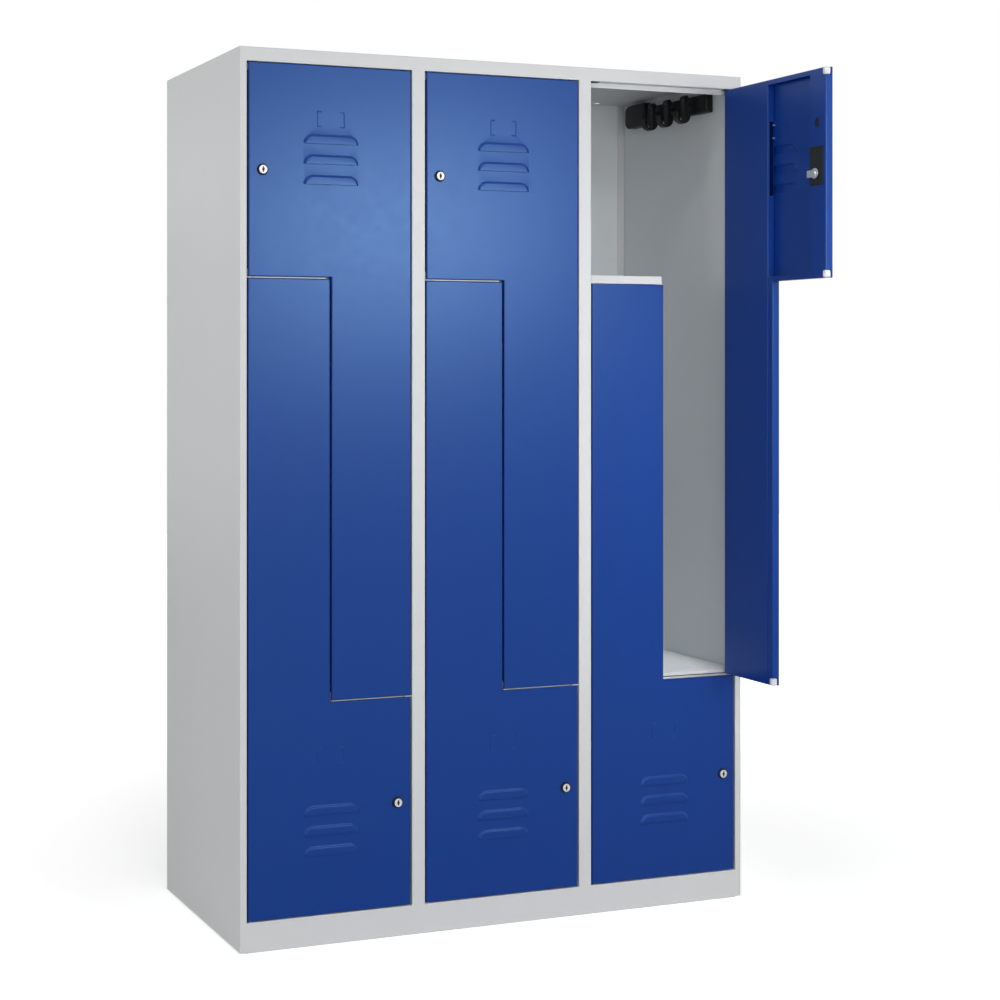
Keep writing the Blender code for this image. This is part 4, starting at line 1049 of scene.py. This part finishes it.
def label_ridges(kind):
    """The pressed ridges that hold a name card: two brackets with a half-round section."""
    meshes = []
    angles = [math.pi * step / RIDGE_STEPS for step in range(RIDGE_STEPS + 1)]
    profile = [(LABEL_RIDGE / 2 * math.cos(angle), LABEL_PROUD * math.sin(angle)) for angle in angles]
    profile += [(-LABEL_RIDGE / 2, -HALF_SHEET), (LABEL_RIDGE / 2, -HALF_SHEET)]
    for side in (-1, 1):
        middle = -kind.hinge_x
        half = LABEL_HEIGHT / 2 - LABEL_RIDGE / 2
        outer = middle + side * (LABEL_WIDTH / 2 - LABEL_RIDGE / 2)
        stub = middle + side * (LABEL_WIDTH / 2 - LABEL_STUB)
        path = [
            (Vector((stub, kind.label_z + half)), Vector((0, 1))),
            (Vector((outer, kind.label_z + half)), Vector((side, 1))),
            (Vector((outer, kind.label_z - half)), Vector((side, -1))),
            (Vector((stub, kind.label_z - half)), Vector((0, -1))),
        ]
        verts, rows = [], []
        for point, sideways in path:
            rows.append(list(range(len(verts), len(verts) + len(profile))))
            for reach, rise in profile:
                place = point + sideways * reach
                verts.append((place.x, FRONT - rise, place.y))
        meshes.append(make_mesh("ridge", verts, between(rows) + [rows[0], rows[-1]]))
    return meshes


def door_web(kind):
    """The folded edge of the stiffener pan, from the pan's plane down to the inside of the skin."""
    side = kind.side
    web = side * (WEB_X + HALF_SHEET) - kind.hinge_x
    face = INNER_PLANE - HALF_SHEET
    foot = FRONT + SHEET + SEAT_GAP + HALF_SHEET
    top = web + side * WEB_SLANT
    start = top + side * (FOLD_RADIUS + SEAT_GAP)
    path = [(start, face), (top, face), (web, foot), (web + side * STIFFENER_FOOT, foot)]
    reach = SHEET + SEAT_GAP
    ends = sorted((kind.wide_end - side * reach, kind.tip + side * reach))
    mesh = bent_sheet("door_web", path, *ends, 2)
    slot_front = foot + HALF_SHEET + WEB_SLOT_FROM_SKIN
    begin = kind.step + side * WEB_SLOT_FROM_STEP
    finish = begin + side * WEB_SLOT_LENGTH
    slot = ((web - side * SHEET, slot_front, begin), (top + side * SHEET, slot_front + WEB_SLOT_WIDTH, finish))
    return boolean(mesh, boxes("slot", [slot]))


def bumper_mesh():
    """A white plastic corner cap about its own corner."""
    corner = ((0, INNER_PLANE - BUMPER_DEPTH, 0), (BUMPER_WIDTH, INNER_PLANE + BUMPER_PROUD, BUMPER_HEIGHT))
    return rounded_edges(boxes("bumper", [corner]), BUMPER_ROUND, 4)


def lock_case_mesh(kind):
    """The lock's black housing about the lock's axis, with the rosette outside."""
    case_z = kind.side * CASE_SHIFT
    wide, tall = CASE_WIDTH / 2, CASE_HEIGHT / 2
    body = ((-wide, FRONT + SHEET + SEAT_GAP, case_z - tall), (wide, INNER_PLANE + 2 * SEAT_GAP, case_z + tall))
    cover = (
        (-wide - COVER_MARGIN, INNER_PLANE + SEAT_GAP, case_z - tall - COVER_MARGIN),
        (wide + COVER_MARGIN, COVER_FACE, case_z + tall + COVER_MARGIN),
    )
    hub = CORE_DIAMETER / 2 + SEAT_GAP
    bore = BARREL_DIAMETER / 2 + SEAT_GAP
    face = FRONT - ROSETTE_PROUD
    deep = face + CORE_RECESS + CORE_HEAD + SEAT_GAP
    rim, wide_rim = ROSETTE_RIM / 2, ROSETTE_DIAMETER / 2
    neck, seat, root = NECK_DIAMETER / 2, FRONT - SEAT_GAP, (bore, COVER_FACE - SEAT_GAP)
    profile = [root, (bore, deep), (hub, deep), (hub, face + EDGE_ROUND), (hub + EDGE_ROUND, face)]
    profile += [(rim - ROSETTE_ROUND * left, face + ROSETTE_ROUND * done) for left, done in quarter(FOLD_STEPS)]
    profile += [(wide_rim, seat - EDGE_ROUND), (wide_rim - EDGE_ROUND, seat)]
    profile += [(neck, seat), (neck, FRONT + 2 * SHEET), root]
    rosette = turned("rosette", 0, 0, profile)
    hole = cylinder("bore", bore, face, COVER_FACE + OVERRUN)
    shapes = [boolean(shape, hole) for shape in (soft_box(*body, CASE_ROUND, 3), soft_box(*cover, COVER_ROUND))]
    screws = []
    for z in (case_z + tall - SCREW_INSET, case_z - tall + SCREW_INSET):
        screws.append(turned("screw", 0, z, [(radius, COVER_FACE + rise) for radius, rise in SCREW_PROFILE], 20))
    return joined("lock_case", shapes + [rosette] + screws)


def lock_core_mesh():
    """The keyed plug about its own axis, with near-black painted shade in its keyhole."""
    face = FRONT - ROSETTE_PROUD + CORE_RECESS
    radius, barrel = CORE_DIAMETER / 2, BARREL_DIAMETER / 2
    profile = [(0, face)] + [(radius - inset, face + depth) for inset, depth in CORE_GROOVE]
    profile += [(radius - EDGE_ROUND, face), (radius, face + EDGE_ROUND), (radius, face + CORE_HEAD)]
    profile += [(barrel, face + CORE_HEAD), (barrel, COVER_FACE), (0, COVER_FACE)]
    mesh = turned("lock_core", 0, 0, profile)
    eye = KEY_EYE_DIAMETER / 2
    deep = face + KEY_SLOT_DEPTH
    front = face - OVERRUN
    mesh = boolean(mesh, cylinder("eye", eye, front, deep, 24))
    slot = ((-KEY_SLOT_WIDTH / 2, front, -KEY_SLOT_LENGTH / 2), (KEY_SLOT_WIDTH / 2, deep, KEY_SLOT_LENGTH / 2))
    mesh = boolean(mesh, boxes("slot", [slot]))

    def in_keyhole(polygon):
        place = polygon.center
        sunk = face + EDGE_ROUND / 3 < place.y < deep + EDGE_ROUND / 3
        return sunk and math.hypot(place.x, place.z) < KEY_SLOT_LENGTH / 2 + EDGE_ROUND

    # The keyhole's sunk faces get near-black painted shade, for the shade of a deep keyway
    two_paints(mesh, "plug_nickel", "painted_shade", in_keyhole)
    return mesh


def lock_cam_mesh(kind):
    """The tongue on the plug's inner end, with its hub and its bolt."""
    tip = CAM_TIP_WIDTH / 2
    start = math.atan2(tip, math.sqrt(CAM_BACK ** 2 - tip ** 2))
    turn = 2 * (math.pi - start)
    points = [(CAM_REACH, -tip + SHEET), (CAM_REACH, tip - SHEET), (CAM_REACH - SHEET, tip)]
    for step in range(CAM_STEPS + 1):
        angle = start + turn * step / CAM_STEPS
        points.append((CAM_BACK * math.cos(angle), CAM_BACK * math.sin(angle)))
    points.append((CAM_REACH - SHEET, -tip))
    points = [(kind.side * x, kind.side * z) for x, z in points]
    tongue = rounded_edges(plate("cam", points, CAM_FRONT, CAM_FRONT + CAM_THICKNESS), EDGE_ROUND, 2, 50)
    hub, bolt = CAM_HUB_DIAMETER / 2, CAM_BOLT_DIAMETER / 2
    front, back = COVER_FACE + SEAT_GAP, CAM_FRONT + CAM_THICKNESS / 2
    head = CAM_FRONT + CAM_THICKNESS + CAM_BOLT_HEAD
    shapes = [tongue, cylinder("hub", hub, front, back), turned("bolt", 0, 0, headed(bolt, back, head), 6)]
    return joined("lock_cam", shapes)


def fittings_mesh(kind):
    """A near-black plate behind the spare hole, painted shade for the dark space inside the door, and two small studs
    on the skin in the slot of the pan's edge.
    """
    spare_z = kind.lock_z + kind.side * SPARE_HOLE_RISE
    stretch = SPARE_HOLE_HEIGHT / SPARE_HOLE_WIDTH
    # A near-black plate that paints the shade behind the spare hole
    ring = circle(kind.lock_x, spare_z, SPARE_HOLE_WIDTH / 2 + BACKING_MARGIN, SPARE_HOLE_STEPS, stretch)
    plug = plate("plug", ring, INNER_PLANE - 2 * SHEET, INNER_PLANE - SHEET)
    web = kind.side * (WEB_X + HALF_SHEET) - kind.hinge_x
    foot = FRONT + SHEET
    profile = headed(STUD_DIAMETER / 2, foot, foot + STUD_HEIGHT)
    studs = [turned("stud", web, kind.step + kind.side * rise, profile, 16) for rise in STUDS_FROM_STEP]
    mesh = joined("fittings", [plug] + studs)
    # The plate behind the spare hole takes the painted shade, the studs zinc
    two_paints(mesh, "painted_shade", "zinc_steel", lambda face: abs(face.center.x - web) < 2 * STUD_DIAMETER)
    return mesh


def build_doors(kind):
    """One kind of door in every column, on its hinge axis, with its lock and its bumpers."""
    shell = joined("door_" + kind.name, [door_shell(kind)] + label_ridges(kind) + louvre_backs(kind))
    web = door_web(kind)
    bumper = bumper_mesh()
    case = lock_case_mesh(kind)
    core = lock_core_mesh()
    cam = lock_cam_mesh(kind)
    fittings = fittings_mesh(kind)
    for column in range(COLUMNS):
        tag = f"{column + 1}_{kind.name}"
        body = "door_" + tag
        place = Matrix.Translation((column_x(column) + kind.hinge_x, 0, 0))
        if kind is UPPER and column == COLUMNS - 1:
            swing = Matrix.Rotation(math.radians(90), 4, "Z")
            place = place @ Matrix.Translation((0, HINGE_Y, 0)) @ swing @ Matrix.Translation((0, -HINGE_Y, 0))
        nodes = ["door_leaf_" + tag]
        piece(f"door_{tag}_shell", shell, body, "blue_steel", place, nodes)
        piece(f"door_{tag}_pan_edge", web, body, "blue_steel", place, ["door_stiffener_" + tag])
        for number, (x, z, inward, up) in enumerate(bumper_corners(kind)):
            spot = place @ Matrix.Translation((x, 0, z)) @ Matrix.Diagonal((inward, 1, up, 1))
            nodes = ["corner_bumper_" + tag] if number == 0 else []
            piece(f"door_{tag}_bumper_{number + 1}", bumper, body, "white_plastic", spot, nodes)
        # The fittings carry their own materials, the painted shade and zinc, so the black plastic slot is not used
        piece(f"door_{tag}_fittings", fittings, body, "black_plastic", place)
        lock = place @ Matrix.Translation((kind.lock_x, 0, kind.lock_z))
        piece(f"lock_{tag}_housing", case, body, "black_plastic", lock, ["lock_case_" + tag])
        piece(f"lock_{tag}_plug", core, "lock_" + tag, "chrome", lock, ["lock_core_" + tag])
        piece(f"lock_{tag}_tongue", cam, "lock_" + tag, "zinc_steel", lock, ["lock_cam_" + tag])


# ---------------------------------------------------------------- hook rails

def wall_seat(column, side):
    """Where a piece sits on a column's right or left wall."""
    edge = column_x(column) + side * PITCH / 2
    outermost = abs(edge) > WIDTH / 2 - SHEET
    return edge - side * ((SHEET if outermost else HALF_SHEET) + SEAT_GAP)


def hook_outline(side, ceiling):
    """A coat hook seen along Y: a knobbed stem on the rail's face that splits into two prongs."""
    half = HOOK_STEM / 2
    radius = HOOK_CURL - HOOK_PRONG
    top = ceiling - HOOK_DROP
    low = top - HOOK_HEIGHT + HOOK_CURL
    tip = low + HOOK_TIP_RISE
    fork = [low - math.sqrt(radius**2 - (HOOK_SHIFT + way * half) ** 2) for way in (-1, 1)]
    inner, outer, knob = [], [], []
    start = math.acos(half / HOOK_KNOB)
    for step in range(CURL_STEPS + 1):
        angle = math.pi * step / CURL_STEPS
        inner.append((HOOK_SHIFT - radius * math.cos(angle), low - radius * math.sin(angle)))
        outer.append((HOOK_SHIFT - HOOK_CURL * math.cos(angle), low - HOOK_CURL * math.sin(angle)))
        turn = (math.pi + 2 * start) * step / CURL_STEPS - start
        knob.append((HOOK_KNOB * math.cos(turn), top - HOOK_KNOB + HOOK_KNOB * math.sin(turn)))
    seat = RAIL_STRIP_THICKNESS - OVERRUN - HOOK_OUT
    seat_middle = ceiling - RAIL_STRIP_DROP - RAIL_STRIP_HEIGHT / 2
    points = outer + [(outer[-1][0] - HOOK_PRONG / 4, tip), (inner[-1][0] + HOOK_PRONG / 4, tip)]
    points += [place for place in reversed(inner) if place[0] > half]
    points += [(half, fork[0])] + knob
    points += [(-half, seat_middle + half), (seat, seat_middle + half)]
    points += [(seat, seat_middle - half), (-half, seat_middle - half), (-half, fork[1])]
    points += [place for place in reversed(inner) if place[0] < -half]
    points += [(inner[0][0] - HOOK_PRONG / 4, tip), (outer[0][0] + HOOK_PRONG / 4, tip)]
    return [(-side * (HOOK_OUT + distance), z) for distance, z in points]


def rail_cap(side, middle, ceiling):
    """The rail's thicker rear end, with a big round at its two rear corners."""
    front, back = middle + RAIL_BACK - RAIL_CAP_LENGTH, middle + RAIL_BACK
    top, bottom = ceiling - RAIL_CAP_DROP, ceiling - RAIL_CAP_DROP - RAIL_CAP_HEIGHT
    outline = [(front, top)]
    for centre_z, way in ((top - RAIL_CAP_ROUND, 1), (bottom + RAIL_CAP_ROUND, -1)):
        for step in range(LOUVRE_ARC_STEPS + 1):
            angle = math.radians(90) * (step if way < 0 else LOUVRE_ARC_STEPS - step) / LOUVRE_ARC_STEPS
            reach = RAIL_CAP_ROUND * (1 - math.cos(angle))
            outline.append((back - reach, centre_z + way * RAIL_CAP_ROUND * math.sin(angle)))
    outline.append((front, bottom))
    ends = [[(x, y, z) for y, z in outline] for x in (0, -side * RAIL_CAP_THICKNESS)]
    return rounded_edges(prism("cap", *ends), RAIL_EDGE_ROUND, 4, 40)


def hook_rail_mesh(side, ceiling):
    """A black rail with three coat hooks for a wall at X zero, on its left for side +1."""
    middle = (FRONT + BACK) / 2

    def block(start, length, thickness, drop, height, rounding):
        low = (0, middle + start, ceiling - drop - height)
        high = (-side * thickness, middle + start + length, ceiling - drop)
        return soft_box(low, high, rounding, 4)

    shapes = [
        block(RAIL_FRONT + OVERRUN, RAIL_BACK - RAIL_FRONT - 2 * OVERRUN, RAIL_STRIP_THICKNESS,
              RAIL_STRIP_DROP, RAIL_STRIP_HEIGHT, RAIL_STRIP_ROUND),
        block(RAIL_FRONT, RAIL_BLOCK_LENGTH, RAIL_BLOCK_THICKNESS, RAIL_BLOCK_DROP - OVERRUN,
              RAIL_BLOCK_HEIGHT + OVERRUN, RAIL_BLOCK_ROUND),
        rail_cap(side, middle, ceiling),
    ]
    for y in HOOKS_Y:
        centre = middle + y
        outline = hook_outline(side, ceiling)
        hook = plate("hook", outline, centre - HOOK_WIDTH / 2, centre + HOOK_WIDTH / 2)
        shapes.append(rounded_edges(hook, HOOK_ROUND, 3, 50))
    return joined("hook_rail", shapes)


def build_hook_rails():
    """A hook rail in each compartment."""
    for kind, ceiling in ((UPPER, HEIGHT - SHEET), (LOWER, UPPER_SHELF_Z - SHEET)):
        mesh = hook_rail_mesh(kind.side, ceiling)
        for column in range(COLUMNS):
            name = f"hook_rail_{column + 1}_{kind.name}"
            place = Matrix.Translation((wall_seat(column, kind.side), 0, 0))
            piece(name + "_moulding", mesh, "carcass", "black_plastic", place, [name])


INSIDE_NODES = ("back_panel", "partition_", "z_division_", "floor_panel")


def dress_cad():
    """Paints the CAD nodes that stay, the inside sheets with the lighter grey that paints in light, and eases their
    edges.
    """
    for name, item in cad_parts.items():
        if item.hide_render:
            continue
        item.data.materials.clear()
        paint = "inside_painted_light" if name.startswith(INSIDE_NODES) else "light_grey_steel"
        item.data.materials.append(MATERIALS[paint])
        add_modifier(item, "eased_edges", "BEVEL", **bevel(EDGE_ROUND, 2, 40))
        add_modifier(item, "flat_faces_stay_flat", "WEIGHTED_NORMAL", keep_sharp=True)


# ---------------------------------------------------------------- stage

WORLD_LEVEL = 0.25
FLOOR_REACH = 9
FLOOR_GLOW_NEAR = 0.54
FLOOR_GLOW_FAR = 1.0
FLOOR_NEAR = 0.9
FLOOR_FAR = 3.2
PANEL_POWER = 4


def emitter_panel(name, place, target, width, height, strength, spread):
    """A soft light panel that faces a point."""
    light = bpy.data.lights.new(name, "AREA")
    light.shape = "RECTANGLE"
    light.size = width
    light.size_y = height
    light.energy = strength * width * height * PANEL_POWER
    light.spread = math.radians(spread)
    item = add_object(name, light)
    item.location = place
    item.rotation_euler = (Vector(target) - Vector(place)).to_track_quat("-Z", "Y").to_euler()
    item.visible_camera = False


def build_world():
    """White for the camera and for mirrors, dimmer as a light."""
    world = bpy.data.worlds.new("white_room")
    bpy.context.scene.world = world
    world.use_nodes = True
    tree = world.node_tree
    back = tree.nodes["Background"]
    set_inputs(back, {"Color": (1, 1, 1, 1)})
    path = tree.nodes.new("ShaderNodeLightPath")
    seen = math_node(tree, "MAXIMUM", path, "Is Camera Ray", path, "Is Glossy Ray")
    more = math_node(tree, "MAXIMUM", seen, "Value", path, "Is Transmission Ray")
    level = range_node(tree, more, "Value", 0, 1, WORLD_LEVEL, 1.0)
    link(level, "Result", back, "Strength")


def build_floor():
    """A white floor that keeps the locker's shadow."""
    corners = [(x * FLOOR_REACH, y * FLOOR_REACH, 0) for x, y in ((-1, -1), (1, -1), (1, 1), (-1, 1))]
    mesh = make_mesh("floor", corners, [[0, 1, 2, 3]])
    material = bpy.data.materials.new("white_floor")
    material.use_nodes = True
    tree = material.node_tree
    shader = tree.nodes["Principled BSDF"]
    set_inputs(shader, {"Base Color": (0.85, 0.85, 0.85, 1), "Roughness": 0.9})
    set_inputs(shader, {"Specular IOR Level": 0.0, "Emission Color": (1, 1, 1, 1)})
    path = tree.nodes.new("ShaderNodeLightPath")
    coordinates = tree.nodes.new("ShaderNodeTexCoord")
    distance = tree.nodes.new("ShaderNodeVectorMath")
    distance.operation = "LENGTH"
    link(coordinates, "Object", distance, "Vector")
    glow = range_node(tree, distance, "Value", FLOOR_NEAR, FLOOR_FAR, FLOOR_GLOW_NEAR, FLOOR_GLOW_FAR)
    level = math_node(tree, "MULTIPLY", path, "Is Camera Ray", glow, "Result")
    link(level, "Value", shader, "Emission Strength")
    mesh.materials.append(material)
    item = add_object("floor", mesh)


# Name, place, target, width, height, strength and spread of each light panel
LIGHTS = (
    ("softbox_front", (1.5, -4.0, 1.81), (0, 0, 1.2), 1.1, 0.35, 36, 180),
    ("softbox_high", (-1.0, -1.86, 4.1), (0, 0, 1.2), 1.0, 0.35, 8.5, 180),
    ("softbox_side", (-1.83, 4.03, 2.02), (-0.6, 0.25, 1.2), 4.0, 0.4, 0.5, 180),
    ("fill_front", (-0.9, -4.5, 1.5), (0, 0, 1.0), 2.4, 1.6, 3.15, 180),
    ("fill_left", (-5.0, -0.5, 1.8), (0, 0, 1.0), 3.0, 2.0, 3.3, 180),
    ("fill_high", (1.2, -2.3, 2.85), (0, 0, 0.25), 1.8, 0.35, 0.46, 50),
    ("fill_inside", (0.10, -3.6, 2.9), (0.42, 0.25, 1.10), 0.8, 0.8, 0.3, 24),
    ("fill_shelf", (0.47, -1.3, 3.3), (0.49, 0.20, 0.52), 0.3, 0.3, 0.9, 14),
)


def build_camera():
    """The photo's camera, solved from six outer corners of the carcass."""
    data = bpy.data.cameras.new("camera")
    data.sensor_width = 36
    data.lens = 66.779
    data.shift_x = 0.24142
    data.shift_y = -0.13559
    data.clip_start = 0.05
    data.clip_end = 60
    item = add_object("camera", data)
    item.location = (-1.86406, -3.56590, 1.20126)
    item.rotation_euler = (math.radians(90), 0, math.radians(-20.1382))
    bpy.context.scene.camera = item


build_side(-1)
build_side(1)
build_top()
build_plinth()
for index, place_x in enumerate(post_places()):
    build_post(index + 1, place_x)
build_divisions()
build_painted_shade()
build_doors(UPPER)
build_doors(LOWER)
build_hook_rails()
dress_cad()
build_world()
build_floor()
build_camera()
for light in LIGHTS:
    emitter_panel(*light)
bpy.context.scene.view_settings.view_transform = "Standard"
